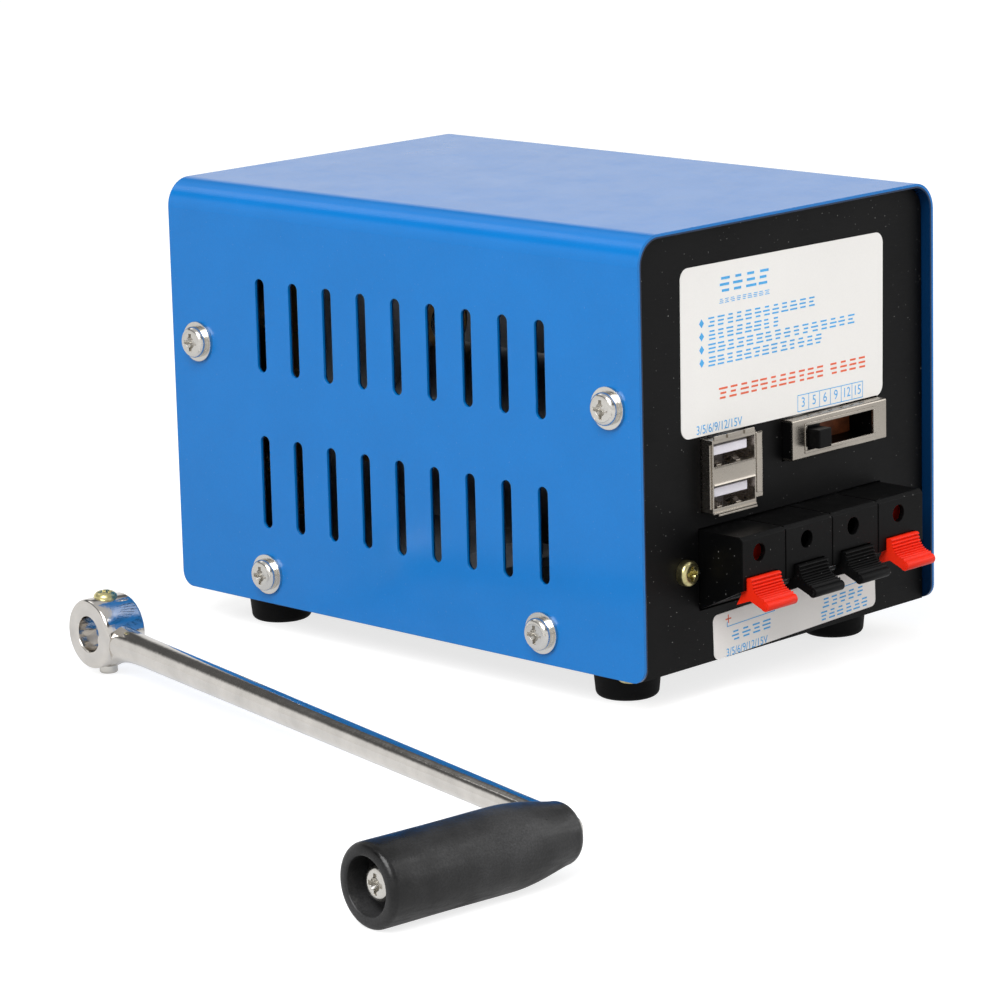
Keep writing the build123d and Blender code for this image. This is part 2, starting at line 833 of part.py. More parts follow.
def make_lever(x):
    """Ribbed push lever on two stub pivots, with an arm up behind the wire hole."""
    crest_y, crest_z = proud(lever_crest[0]), lever_crest[1]
    tip_y, tip_z = proud(lever_tip[0]), lever_tip[1]
    under = lever_opening - fit_gap
    half = lever_width / 2
    curve = ThreePointArc((crest_y, crest_z), (proud(lever_bow[0]), lever_bow[1]), (tip_y, tip_z + lever_tip_radius))
    rest = Polyline(
        (tip_y, tip_z + lever_tip_radius), (tip_y, tip_z - lever_tip_radius),
        (proud(13.3), 24.2), (proud(9.3), 22.6), (proud(10.8), 25.5),
        (proud(lever_arm[0]), 26.6), (proud(lever_arm[0]), lever_arm_top), (proud(lever_arm[1]), lever_arm_top),
        (proud(lever_arm[1]), under), (proud(block_proud + fit_gap), under), (proud(block_proud + fit_gap), crest_z),
        (crest_y, crest_z),
    )
    lever = prism_x(make_face(curve + rest), x - half, x + half)
    lever += rod_x(tip_y, tip_z, x - half, x + half, lever_tip_radius)
    for i in range(rib_count):
        point = curve @ ((i + 0.5) / (rib_count + 0.6))
        lever += rod_x(point.X, point.Y, x - half, x + half, rib_radius)
    reach = pocket_width / 2 + pivot_reach - fit_gap
    return lever + rod_x(proud(pivot_proud), pivot_height, x - reach, x + reach, pivot_radius)


# Circuit board


def make_circuit_board():
    board = slab(-board_half_width, board_half_width, pcb_front, pcb_rear, pcb_bottom, pcb_top)
    board = fillet(board.edges().filter_by(Axis.Z), 1.0)
    return board - [rod_z(x, y, pcb_bottom - 1, pcb_top + 1, m3_radius + hole_gap) for x, y in standoff_places]


def make_standoffs():
    return group(
        rod_z(x, y, base_top, pcb_bottom, standoff_radius) - rod_z(x, y, base_top - 1, pcb_bottom + 1, m3_radius)
        for x, y in standoff_places
    )


def make_capacitors():
    cans = []
    for x, back, radius, height in (large_capacitor, *small_capacitors):
        can = rod_z(x, pcb_front + back, pcb_top, pcb_top + height, radius)
        cans.append(fillet(can.edges().group_by(Axis.Z)[-1], 0.5))
    return group(cans)


def make_inductor_core():
    x, back = inductor_place
    z0, z1 = pcb_top + coil_wall, pcb_top + coil_wall + inductor_height
    y = pcb_front + back
    return rod_z(x, y, z0, z1, inductor_outer) - rod_z(x, y, z0 - 1, z1 + 1, inductor_inner)


def make_inductor_coil():
    """Winding round most of the ring, down to the board."""
    x, back = inductor_place
    y = pcb_front + back
    z1 = pcb_top + 2 * coil_wall + inductor_height
    ring = rod_z(x, y, pcb_top, z1, inductor_outer + coil_wall)
    ring -= rod_z(x, y, pcb_top - 1, z1 + 1, inductor_inner - coil_wall)
    hollow = rod_z(x, y, pcb_top + coil_wall - seat_gap, z1 - coil_wall + seat_gap, inductor_outer + seat_gap)
    hollow -= rod_z(x, y, pcb_top, z1, inductor_inner - seat_gap)
    gap = slab(x, x + 2 * inductor_outer, y - 1.5, y + 1.5, pcb_top - 1, z1 + 1)
    return ring - hollow - gap


def make_heat_sink():
    x, back = heat_sink_place
    y = pcb_front + back - heat_sink_depth / 2
    half = heat_sink_width / 2
    sink = slab(x - half, x + half, y, y + heat_sink_depth, pcb_top, pcb_top + heat_sink_height)
    pitch = heat_sink_width / fin_count
    for i in range(fin_count):
        middle = x - half + (i + 0.5) * pitch
        sink -= slab(middle - fin_gap / 2, middle + fin_gap / 2, y + 2, y + heat_sink_depth + 1,
                     pcb_top - 1, pcb_top + heat_sink_height + 1)
    return sink


def make_regulator():
    x, back = heat_sink_place
    rear = pcb_front + back - heat_sink_depth / 2
    half = regulator_width / 2
    body = slab(x - half, x + half, rear - regulator_thickness, rear, pcb_top + 3, pcb_top + regulator_height)
    legs = [
        slab(x + i * 2.54 - 0.4, x + i * 2.54 + 0.4, rear - 2.6, rear - 2.0, pcb_top, pcb_top + 3.1)
        for i in (-1, 0, 1)
    ]
    return body + legs


def make_axial(x, y, radius, length, lead):
    """A small body along x on two legs that stand on the board."""
    z = pcb_top + radius + 0.6
    body = rod_x(y, z, x - length / 2, x + length / 2, radius)
    reach = length / 2 + lead
    wire = rod_x(y, z, x - reach, x + reach, 0.3)
    legs = [rod_z(x + side * (reach - 0.3), y, pcb_top, z, 0.3) for side in (-1, 1)]
    return body + wire + legs


def make_diodes():
    return group(make_axial(x, pcb_front + row, diode_radius, diode_length, 1.8) for x, row in diode_places)


def make_resistors():
    """One selecting resistor for each switch position, in two rows under the switch."""
    rows = [(3.5 + 8.0 * (i % 3), pcb_front + 2.0 + 2.6 * (i // 3)) for i in range(detents)]
    return group(make_axial(x, y, resistor_radius, resistor_length, 1.2) for x, y in rows)


# Gear train


def involute(angle):
    return math.tan(angle) - angle


def gear_face(teeth, module, phase=0.0):
    """Teeth with flanks of four short flats on the involute."""
    pitch = module * teeth / 2
    base = pitch * math.cos(math.radians(pressure_angle))
    root, tip = pitch - dedendum * module, pitch + addendum * module
    half_pitch = (math.pi * module / 2 - backlash / 2) / 2 / pitch
    start = max(base, root)
    radii = [start + (tip - start) * i / 4 for i in range(5)]
    flank = []
    for radius in radii:
        half = half_pitch + involute(math.radians(pressure_angle)) - involute(math.acos(min(1.0, base / radius)))
        flank.append((radius, half))
    if root < start:
        flank.insert(0, (root, flank[0][1]))
    points = []
    for i in range(teeth):
        middle = 2 * math.pi * i / teeth + phase
        points += [(r * math.cos(middle - half), r * math.sin(middle - half)) for r, half in flank]
        points += [(r * math.cos(middle + half), r * math.sin(middle + half)) for r, half in reversed(flank)]
    return outline(*points)


def make_gear(axis, teeth, module, y0, width, bore, phase=0.0):
    gear = prism_y(Pos(*axis) * gear_face(teeth, module, phase), y0, y0 + width)
    return gear - rod_y(*axis, y0 - 1, y0 + width + 1, bore)


def mesh_phase(teeth, angle, other_teeth, other_phase=0.0):
    """Turns a gear so that a gap of it faces a tooth of the other gear, along the line of centres."""
    towards = math.radians(angle)
    other_tooth = (towards - other_phase) / (2 * math.pi / other_teeth)
    offset = other_tooth - round(other_tooth)
    back = towards + math.pi
    return back + (0.5 + offset) * 2 * math.pi / teeth


def second_phase():
    return mesh_phase(second_pinion_teeth, second_shaft_angle, drive_teeth)


def make_drive_gear():
    bore = drive_shaft_radius + seat_gap
    gear = make_gear(drive_axis, drive_teeth, gear_module, drive_gear_front, drive_gear_width, bore)
    hub = rod_y(*drive_axis, drive_gear_front - hub_length, drive_gear_front, hub_radius)
    hub -= rod_y(*drive_axis, drive_gear_front - hub_length - 1, drive_gear_front + 1, bore)
    gear += hub
    middle = (gear_module * drive_teeth / 2 + hub_radius) / 2
    for i in range(lightening_count):
        turn = 2 * math.pi * i / lightening_count
        x, z = drive_axis[0] + middle * math.cos(turn), drive_axis[1] + middle * math.sin(turn)
        gear -= rod_y(x, z, drive_gear_front - 1, drive_gear_front + drive_gear_width + 1, lightening_radius)
    return gear


def make_drive_shaft():
    """Shaft with two clip grooves, stepped down to the stub outside, which has a flat for the crank's screw."""
    end = rear_y + shaft_stub
    stub = rod_y(*drive_axis, rear_y - 1, end, stub_radius)
    stub = chamfer(stub.edges().group_by(Axis.Y)[-1], stub_chamfer)
    flat_z = drive_axis[1] + stub_radius - shaft_flat
    stub -= slab(-10, 10, end - shaft_flat_length, end + 1, flat_z, flat_z + 10)
    shaft = rod_y(*drive_axis, front_plate_y + fit_gap, rear_y, drive_shaft_radius) + stub
    for y in clip_places():
        groove = rod_y(*drive_axis, y - seat_gap, y + clip_thickness + seat_gap, drive_shaft_radius + 1)
        groove -= rod_y(*drive_axis, y - 1, y + clip_thickness + 1, drive_shaft_radius - clip_groove)
        shaft -= groove
    return shaft


def clip_places():
    front = front_plate_y + plate_thickness + bush_flange_thickness + fit_gap
    rear = rear_plate_y - bush_flange_thickness - fit_gap - clip_thickness
    return (front, rear)


def make_shaft_clips():
    clips = []
    for y in clip_places():
        ring = rod_y(*drive_axis, y, y + clip_thickness, clip_radius)
        ring -= rod_y(*drive_axis, y - 1, y + clip_thickness + 1, drive_shaft_radius - clip_groove + screw_gap)
        mouth = slab(-3, 3, y - 1, y + clip_thickness + 1, drive_axis[1] - 10, drive_axis[1])
        clips.append(ring - mouth)
    return group(clips)


def make_second_pinion():
    y0 = drive_gear_front - pinion_margin
    width = drive_gear_width + 2 * pinion_margin
    return make_gear(second_axis, second_pinion_teeth, gear_module, y0, width,
                     second_shaft_radius + seat_gap, second_phase())


def make_second_gear():
    gear = make_gear(second_axis, second_teeth, fine_module, second_gear_front, second_gear_width,
                     second_shaft_radius + seat_gap, second_phase())
    hub = rod_y(*second_axis, second_gear_front + second_gear_width, drive_gear_front - pinion_margin - fit_gap, 6.0)
    hub -= rod_y(*second_axis, second_gear_front, drive_gear_front, second_shaft_radius + seat_gap)
    return gear + hub


def make_second_shaft():
    return rod_y(*second_axis, front_plate_y + fit_gap, rear_inner - fit_gap, second_shaft_radius)


def make_motor_pinion():
    y0 = second_gear_front - pinion_margin
    phase = mesh_phase(motor_pinion_teeth, 0.0, second_teeth, second_phase())
    width = second_gear_width + 2 * pinion_margin
    return make_gear(motor_axis, motor_pinion_teeth, fine_module, y0, width, motor_shaft_radius + seat_gap, phase)


# Gearbox frame


def make_plate(y0, bottom, holes):
    width = plate_right - plate_left
    height = plate_top - bottom
    middle = Pos((plate_left + plate_right) / 2, (bottom + plate_top) / 2)
    plate = prism_y(middle * RectangleRounded(width, height, plate_corner), y0, y0 + plate_thickness)
    holes += [(x, z, m4_radius + hole_gap) for x, z in pillar_places]
    holes.append((*drive_axis, drive_shaft_radius + bush_wall + seat_gap))
    holes.append((*second_axis, second_shaft_radius + bush_wall + seat_gap))
    return plate - [rod_y(x, z, y0 - 1, y0 + plate_thickness + 1, radius) for x, z, radius in holes]


def make_rear_plate():
    return make_plate(rear_plate_y, base_top + plate_corner, [])


def make_front_plate():
    """Plate that carries the motor, with a foot bent forward onto the case's base."""
    holes = [(x, z, m4_radius + hole_gap) for x, z in motor_screw_places]
    holes.append((*motor_axis, motor_bearing_radius + 1))
    plate = make_plate(front_plate_y, base_top, holes)
    plate += slab(-plate_foot_half, plate_foot_half, front_plate_y - plate_foot, front_plate_y + plate_thickness,
                  base_top, base_top + plate_thickness)
    bolts = [side * foot_bolt_x for side in (-1, 1)]
    return plate - [
        rod_z(bolt, front_plate_y - foot_bolt_back, base_top - 1, base_top + plate_thickness + 1, m4_radius)
        for bolt in bolts
    ]


def make_pillars():
    y0, y1 = front_plate_y + plate_thickness, rear_plate_y
    return group(
        hexagon_y(x, z, y0, y1, pillar_flats) - rod_y(x, z, y0 - 1, y1 + 1, m4_radius) for x, z in pillar_places
    )


def make_gearbox_screws():
    """Screws into both ends of the pillars, and two up through the base into the front plate's foot."""
    screw = pan_screw(m4_radius - screw_gap, m4_head_radius, m4_head_height, gearbox_screw_length)
    short = pan_screw(m4_radius - screw_gap, m4_head_radius, m4_head_height, 5.0)
    screws = [facing(x, rear_y, z, (0, 1, 0)) * screw for x, z in pillar_places]
    screws += [facing(x, front_plate_y, z, (0, -1, 0)) * screw for x, z in pillar_places]
    screws += [
        facing(side * foot_bolt_x, front_plate_y - foot_bolt_back, foot_height, (0, 0, -1)) * short
        for side in (-1, 1)
    ]
    return group(screws)


def make_bush(axis, shaft_radius, y0, y1, flange_y):
    outer = shaft_radius + bush_wall
    bush = rod_y(*axis, y0, y1, outer)
    bush += rod_y(*axis, flange_y, flange_y + bush_flange_thickness, outer + bush_flange)
    return bush - rod_y(*axis, y0 - 2, y1 + 2, shaft_radius + running_fit)


def make_bushes():
    """Bronze bushes of the drive shaft, of the second shaft and of the rotor."""
    front_flange = front_plate_y + plate_thickness
    rear_flange = rear_plate_y - bush_flange_thickness
    rotor_bore = motor_shaft_radius + running_fit
    return group([
        ring_y(motor_axis, front_plate_y - can_face - 2, front_plate_y, rotor_bore, motor_bearing_radius),
        ring_y(motor_axis, bell_rear - bell_boss + 1, bell_rear + bell_floor, rotor_bore, bell_boss_radius - 1.5),
        make_bush(drive_axis, drive_shaft_radius, front_plate_y + fit_gap, front_flange, front_flange),
        make_bush(drive_axis, drive_shaft_radius, rear_plate_y, rear_y, rear_flange),
        make_bush(second_axis, second_shaft_radius, front_plate_y + fit_gap, front_flange, front_flange),
        make_bush(second_axis, second_shaft_radius, rear_plate_y, rear_inner - seat_gap, rear_flange),
    ])


# Motor


def ring_y(axis, y0, y1, inner, outer):
    return rod_y(*axis, y0, y1, outer) - rod_y(*axis, y0 - 1, y1 + 1, inner)


def make_motor_can():
    can = rod_y(*motor_axis, can_rear, front_plate_y, can_radius)
    can = fillet(can.edges().group_by(Axis.Y)[-1], 1.0)
    can -= rod_y(*motor_axis, can_rear - 1, front_plate_y - can_face, can_bore)
    can -= rod_y(*motor_axis, can_rear, front_plate_y + 1, motor_bearing_radius + seat_gap)
    return can - [rod_y(x, z, 0, front_plate_y + 1, m4_radius) for x, z in motor_screw_places]


def make_end_bell():
    """Plastic cup that closes the can and holds the brushes."""
    bell = rod_y(*motor_axis, bell_rear, can_rear, can_radius)
    bell += rod_y(*motor_axis, can_rear, can_rear + bell_spigot, can_bore - seat_gap)
    bell -= rod_y(*motor_axis, bell_rear + bell_floor, can_rear + bell_spigot + 1, bell_cavity)
    bell += rod_y(*motor_axis, bell_rear - bell_boss, bell_rear + bell_floor, bell_boss_radius)
    bell -= rod_y(*motor_axis, bell_rear - bell_boss + 1, bell_rear + bell_floor + 1, bell_boss_radius - 1.5 + seat_gap)
    bell -= rod_y(*motor_axis, bell_rear - bell_boss - 1, bell_rear, motor_shaft_radius + fit_gap)
    return bell - [terminal_tab_solid(side, seat_gap) for side in (-1, 1)]


def terminal_tab_solid(side, gap=0.0):
    x, z = motor_axis
    middle = x + side * terminal_tab_x
    half = terminal_tab / 2 + gap
    return slab(middle - half, middle + half, bell_rear - terminal_tab_reach, brush_y + brush_length,
                z - brush_half - gap, z + brush_half + gap)


def make_motor_terminals():
    """Brass strips: each holds a brush inside and ends in a solder tab outside."""
    x, z = motor_axis
    strips = []
    for side in (-1, 1):
        inner = commutator_radius + brush_gap + brush_length
        x0, x1 = sorted((x + side * inner, x + side * terminal_tab_x))
        arm = slab(x0, x1, brush_y + brush_length - terminal_tab, brush_y + brush_length, z - brush_half, z + brush_half)
        strips.append(terminal_tab_solid(side) + arm)
    return group(strips)


def make_brushes():
    x, z = motor_axis
    blocks = []
    for side in (-1, 1):
        inner = commutator_radius + brush_gap
        x0, x1 = sorted((x + side * inner, x + side * (inner + brush_length)))
        blocks.append(slab(x0, x1, brush_y, brush_y + brush_length, z - brush_half, z + brush_half))
    return group(blocks)


def make_magnets():
    """Two curved magnets on the can's wall, above and below the rotor."""
    y1 = front_plate_y - magnet_front_gap
    ring = ring_y(motor_axis, y1 - magnet_length, y1, magnet_inner, can_bore - seat_gap)
    half = math.radians((180 - magnet_angle) / 2)
    reach = 2 * can_radius
    x, z = motor_axis
    magnets = []
    for side in (-1, 1):
        dx, dz = reach * math.cos(half), side * reach * math.sin(half)
        wedge = outline((x, z), (x + dx, z + dz), (x, z + side * 3 * reach), (x - dx, z + dz))
        magnets.append(ring & prism_y(wedge, y1 - magnet_length - 1, y1 + 1))
    return group(magnets)


def around_motor(shape, i):
    """Turns a piece made about the Y axis to the i-th pole of the rotor."""
    x, z = motor_axis
    return Pos(x, 0, z) * Rot(0, i * 360 / pole_count, 0) * shape


def make_rotor_core():
    y0, y1 = core_y, core_y + core_length
    core = rod_y(0, 0, y0, y1, pole_hub)
    half = math.radians(pole_tip_angle / 2)
    reach = 2 * core_radius
    wedge = outline((0, 0), (reach * math.sin(half), reach * math.cos(half)), (-reach * math.sin(half), reach * math.cos(half)))
    tip = (rod_y(0, 0, y0, y1, core_radius) - rod_y(0, 0, y0 - 1, y1 + 1, core_radius - pole_tip)) & prism_y(wedge, y0, y1)
    pole = slab(-pole_width / 2, pole_width / 2, y0, y1, 0, core_radius - pole_tip / 2) + tip
    core = around_motor(core, 0)
    core += [around_motor(pole, i) for i in range(pole_count)]
    return core - rod_y(*motor_axis, y0 - 1, y1 + 1, motor_shaft_radius + seat_gap)


def make_rotor_windings():
    """One wound coil round each pole, standing out at both ends."""
    y0, y1 = core_y - coil_overhang, core_y + core_length + coil_overhang
    face = outline(
        (-coil_inner_half, coil_inner), (coil_inner_half, coil_inner),
        (coil_outer_half, coil_outer), (-coil_outer_half, coil_outer),
    )
    coil = prism_y(face, y0, y1)
    half = pole_width / 2 + seat_gap
    coil -= slab(-half, half, core_y - seat_gap, core_y + core_length + seat_gap, 0, 2 * core_radius)
    return group(around_motor(coil, i) for i in range(pole_count))


def make_commutator():
    ring = ring_y(motor_axis, commutator_y, commutator_y + commutator_length,
                  motor_shaft_radius + seat_gap, commutator_radius)
    slit = slab(-0.25, 0.25, commutator_y - 1, commutator_y + commutator_length - 1.5, commutator_radius - 1, 2 * commutator_radius)
    return ring - [around_motor(slit, i) for i in range(pole_count)]


def make_rotor_shaft():
    y0 = bell_rear - bell_boss + 1 + fit_gap
    y1 = second_gear_front + second_gear_width + pinion_margin + 0.6
    return rod_y(*motor_axis, y0, y1, motor_shaft_radius)


def make_motor_screws():
    screw = pan_screw(m4_radius - screw_gap, m4_head_radius, m4_head_height, motor_screw_length)
    y = front_plate_y + plate_thickness
    return group(facing(x, y, z, (0, 1, 0)) * screw for x, z in motor_screw_places)


# Internal leads


def make_lead(points):
    """A round lead along straight runs joined by arcs."""
    path = FilletPolyline(*points, radius=[lead_bend] * (len(points) - 2))
    section = Plane(origin=path @ 0, z_dir=path % 0) * Circle(lead_radius)
    return sweep(section, path=path)


def motor_lead(side):
    """From the motor's solder tab, over the board's rear edge and down to it."""
    x = motor_axis[0] + side * terminal_tab_x
    z = motor_axis[1]
    tab = bell_rear - terminal_tab_reach
    return make_lead([
        (x, tab, z), (x, tab - 2.8, z), (x, pcb_rear - 3.2, pcb_top + 7.0),
        (x + side, pcb_rear - 4.8, pcb_top + 3.2), (x + side, pcb_rear - 4.8, pcb_top),
    ])


def terminal_lead(x):
    """From the board's underside down to a terminal's tail."""
    y = front_inner + block_back + tail_length - 2.0
    return make_lead([
        (x, y, pcb_bottom), (x, y, pcb_bottom - 2.5), (x + 0.8, y, pcb_bottom - 5.5), (x, y, tail_height + 2.2),
        (x, y, tail_height),
    ])


def make_red_leads():
    return group([motor_lead(-1), terminal_lead(cell_centres[0]), terminal_lead(cell_centres[-1])])


def make_black_leads():
    return group([motor_lead(1)] + [terminal_lead(x) for x in cell_centres[1:-1]])


# Crank


def crank_frame():
    turn = math.radians(crank_turn)
    return Plane(
        origin=(*crank_place, collar_height),
        x_dir=(-math.cos(turn), math.sin(turn), 0),
        z_dir=(0, 0, 1),
    ).location


arm_end = (arm_lean, arm_reach, grip_radius - collar_height)
grip_rear = arm_end[0] + grip_flat + grip_gap


def make_crank_arm():
    """Cast arm: a clamping collar at the shaft's end and a leaning rod that ends in a tapped flat for the grip."""
    root = Vector(0, 0, -arm_drop)
    along = Vector(*arm_end) - root
    low = (Align.CENTER, Align.CENTER, Align.MIN)
    arm = rod_x(0, 0, -collar_width / 2, collar_width / 2, collar_radius)
    arm = fillet(arm.edges().filter_by(GeomType.CIRCLE), 0.5)
    start = Plane(origin=root, z_dir=along)
    arm += start * Cone(arm_root_radius, arm_end_radius, along.length + arm_overrun, align=low)
    arm += start * Cone(neck_radius, arm_root_radius, neck_length, align=low)
    end_x, end_y, end_z = arm_end
    arm -= slab(end_x + grip_flat, end_x + 10, end_y - 7, end_y + 10, end_z - 10, end_z + 10)
    arm -= slab(end_x - 10, end_x - arm_flat_back, end_y - 7, end_y + 10, end_z - 10, end_z + 10)
    arm -= rod_x(end_y, end_z, end_x - 10, end_x + 10, m3_radius)
    arm -= rod_x(0, 0, -collar_width, collar_width, crank_bore_radius)
    arm -= rod_z(0, 0, -2 * collar_radius, 2 * collar_radius, m3_radius)
    return crank_frame() * arm


def make_crank_clamp_screw():
    """Screw in the collar's top, its tip just short of the bore."""
    length = collar_radius - crank_bore_radius - 0.2
    screw = pan_screw(m3_radius - screw_gap, collar_screw_head, collar_screw_head_height, length)
    return crank_frame() * Pos(0, 0, collar_radius) * screw


def make_crank_stub_screw():
    """Headless screw standing out of the collar's bottom, which the collar rests on."""
    inside = rod_z(0, 0, -collar_radius - 0.1, -crank_bore_radius - 0.2, m3_radius - screw_gap)
    foot = rod_z(0, 0, -collar_height, -collar_radius, stub_screw_radius)
    foot = fillet(foot.edges().group_by(Axis.Z)[0], 0.4)
    return crank_frame() * (inside + foot)


def make_grip():
    """Turned grip, waisted to its rear end, with a deep recess for the bolt's head."""
    end_x, end_y, end_z = arm_end
    rear, front = grip_rear, grip_rear + grip_length
    bore = m3_radius + running_fit
    profile = Polyline(
        (rear, grip_end_radius - grip_end_round), (rear, bore), (front - grip_recess_depth, bore),
        (front - grip_recess_depth, grip_recess_radius), (front, grip_recess_radius),
        (front, grip_radius - grip_front_round),
    )
    profile += RadiusArc((front, grip_radius - grip_front_round), (front - grip_front_round, grip_radius), -grip_front_round)
    profile += Line((front - grip_front_round, grip_radius), (rear + grip_taper, grip_radius))
    shoulder = (rear + grip_end_round, grip_end_radius)
    profile += Spline((rear + grip_taper, grip_radius), shoulder, tangents=((-1, 0), (-1, -0.25)))
    profile += ThreePointArc(
        shoulder,
        (rear + grip_end_round * 0.25, grip_end_radius - grip_end_round * 0.35),
        (rear, grip_end_radius - grip_end_round),
    )
    grip = revolve(make_face(profile), axis=Axis.X)
    return crank_frame() * Pos(0, end_y, end_z) * grip


def make_grip_bolt():
    """Long bolt through the grip into the arm."""
    end_x, end_y, end_z = arm_end
    seat = grip_rear + grip_length - grip_recess_depth + fit_gap
    screw = pan_screw(m3_radius - running_fit / 2, grip_bolt_head_radius, grip_bolt_head_height,
                      seat - end_x + arm_flat_back - fit_gap)
    return crank_frame() * Pos(seat, end_y, end_z) * Rot(0, 90, 0) * screw


def make_pieces():
    pieces = {
        "cover": make_cover(),
        "chassis": make_chassis(),
        "cover_screws": make_cover_screws(),
        "clinch_nuts": make_clinch_nuts(),
        "feet": make_feet(),
        "m3_screws": make_m3_screws(),
        "m3_nuts": make_m3_nuts(),
        "upper_label": make_label(upper_label_width, upper_label_height, label_corner,
                                  upper_label_x, upper_label_z, upper_label_turn),
        "lower_label": make_label(lower_label_width, lower_label_height, lower_label_corner,
                                  lower_label_x, lower_label_z, lower_label_turn),
        "usb_shell": make_usb_shell(),
        "usb_insulators": make_usb_insulators(),
        "usb_contacts": make_usb_contacts(),
        "switch_frame": make_switch_frame(),
        "switch_body": make_switch_body(),
        "switch_board": make_switch_board(),
        "switch_slider": make_switch_slider(),
        "switch_pins": make_switch_pins(),
        "terminal_block": make_terminal_block(),
        "terminal_contacts": make_terminal_contacts(),
        "circuit_board": make_circuit_board(),
        "board_standoffs": make_standoffs(),
        "capacitors": make_capacitors(),
        "inductor_core": make_inductor_core(),
        "inductor_coil": make_inductor_coil(),
        "heat_sink": make_heat_sink(),
        "regulator": make_regulator(),
        "diodes": make_diodes(),
        "resistors": make_resistors(),
        "drive_shaft": make_drive_shaft(),
        "drive_gear": make_drive_gear(),
        "shaft_clips": make_shaft_clips(),
        "second_shaft": make_second_shaft(),
        "second_pinion": make_second_pinion(),
        "second_gear": make_second_gear(),
        "motor_pinion": make_motor_pinion(),
        "rear_plate": make_rear_plate(),
        "front_plate": make_front_plate(),
        "gearbox_pillars": make_pillars(),
        "gearbox_screws": make_gearbox_screws(),
        "bushes": make_bushes(),
        "motor_can": make_motor_can(),
        "end_bell": make_end_bell(),
        "motor_terminals": make_motor_terminals(),
        "brushes": make_brushes(),
        "magnets": make_magnets(),
        "rotor_core": make_rotor_core(),
        "rotor_windings": make_rotor_windings(),
        "commutator": make_commutator(),
        "rotor_shaft": make_rotor_shaft(),
        "motor_screws": make_motor_screws(),
        "red_leads": make_red_leads(),
        "black_leads": make_black_leads(),
        "crank_arm": make_crank_arm(),
        "crank_clamp_screw": make_crank_clamp_screw(),
        "grip": make_grip(),
        "crank_bolts": group([make_grip_bolt(), make_crank_stub_screw()]),
    }
    for i, x in enumerate(cell_centres):
        pieces[f"lever_{i + 1}"] = make_lever(x)
    return pieces


def set_origin(pieces):
    """The shift that puts the origin under the middle of everything, on the surface it stands on."""
    boxes = [piece.bounding_box() for piece in pieces.values()]
    low = [min(getattr(box.min, axis) for box in boxes) for axis in "XYZ"]
    high = [max(getattr(box.max, axis) for box in boxes) for axis in "XYZ"]
    return Pos(-(low[0] + high[0]) / 2, -(low[1] + high[1]) / 2, -low[2])


def main():
    os.makedirs("parts", exist_ok=True)
    pieces = make_pieces()
    shift = set_origin(pieces)
    for name, piece in pieces.items():
        solids = [shift * solid for solid in piece.solids()]
        export_step(solids[0] if len(solids) == 1 else Compound(solids), f"parts/{name}.step")
    print("pieces", len(pieces), "shift", tuple(round(v, 4) for v in shift.position))


if __name__ == "__main__":
    main()
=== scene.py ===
import json
import math

import bmesh
import bpy
import numpy as np
from mathutils import Matrix, Vector


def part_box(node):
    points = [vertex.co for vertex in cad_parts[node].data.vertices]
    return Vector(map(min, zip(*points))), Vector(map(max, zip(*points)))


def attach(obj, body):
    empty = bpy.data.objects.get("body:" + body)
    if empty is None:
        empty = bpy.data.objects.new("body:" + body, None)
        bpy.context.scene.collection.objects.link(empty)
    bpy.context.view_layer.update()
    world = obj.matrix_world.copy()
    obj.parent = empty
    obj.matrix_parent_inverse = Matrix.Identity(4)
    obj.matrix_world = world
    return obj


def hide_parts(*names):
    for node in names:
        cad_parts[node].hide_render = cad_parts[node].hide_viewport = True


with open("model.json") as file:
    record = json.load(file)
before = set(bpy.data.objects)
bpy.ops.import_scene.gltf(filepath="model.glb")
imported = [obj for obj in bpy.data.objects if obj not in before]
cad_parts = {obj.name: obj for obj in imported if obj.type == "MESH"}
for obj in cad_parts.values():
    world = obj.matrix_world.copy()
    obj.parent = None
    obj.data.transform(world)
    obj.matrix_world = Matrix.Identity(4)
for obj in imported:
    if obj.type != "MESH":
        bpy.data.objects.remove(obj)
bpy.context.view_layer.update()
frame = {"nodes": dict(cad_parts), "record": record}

# Lengths named with mm are millimetres in the case's own frame: x across the front panel,
# y towards the rear, z up from the floor, with the origin under the case's middle.
mm = 0.001
coverLow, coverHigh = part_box("cover")
caseHome = Vector(((coverLow.x + coverHigh.x) / 2, (coverLow.y + coverHigh.y) / 2, 0.0))
caseMm = {"frontY": -72.0, "labelProud": 0.15}


def atCase(x, y, z):
    return caseHome + Vector((x, y, z)) * mm


cameraSettings = {
    "placeMm": (-704.46, -672.30, 248.54),
    "forward": (0.69763, 0.68222, -0.21882),
    "rollDegrees": -1.46,
    "focalPixels": 4248.69,
    "framePixels": 1001.0,
    "sensorMm": 36.0,
}


def makeCamera(settings):
    forward = Vector(settings["forward"]).normalized()
    right = forward.cross(Vector((0, 0, 1))).normalized()
    up = right.cross(forward)
    roll = math.radians(settings["rollDegrees"])
    rolledRight = right * math.cos(roll) + up * math.sin(roll)
    rolledUp = up * math.cos(roll) - right * math.sin(roll)
    data = bpy.data.cameras.new("camera")
    data.sensor_width = settings["sensorMm"]
    data.lens = settings["focalPixels"] / settings["framePixels"] * settings["sensorMm"]
    data.clip_start, data.clip_end = 0.05, 20.0
    camera = bpy.data.objects.new("camera", data)
    bpy.context.scene.collection.objects.link(camera)
    turn = Matrix((rolledRight, rolledUp, -forward)).transposed().to_4x4()
    camera.matrix_world = Matrix.Translation(atCase(*settings["placeMm"])) @ turn
    bpy.context.scene.camera = camera


makeCamera(cameraSettings)
bpy.context.scene.view_settings.view_transform = "Standard"
print("camera placed")

# Shared shader effects


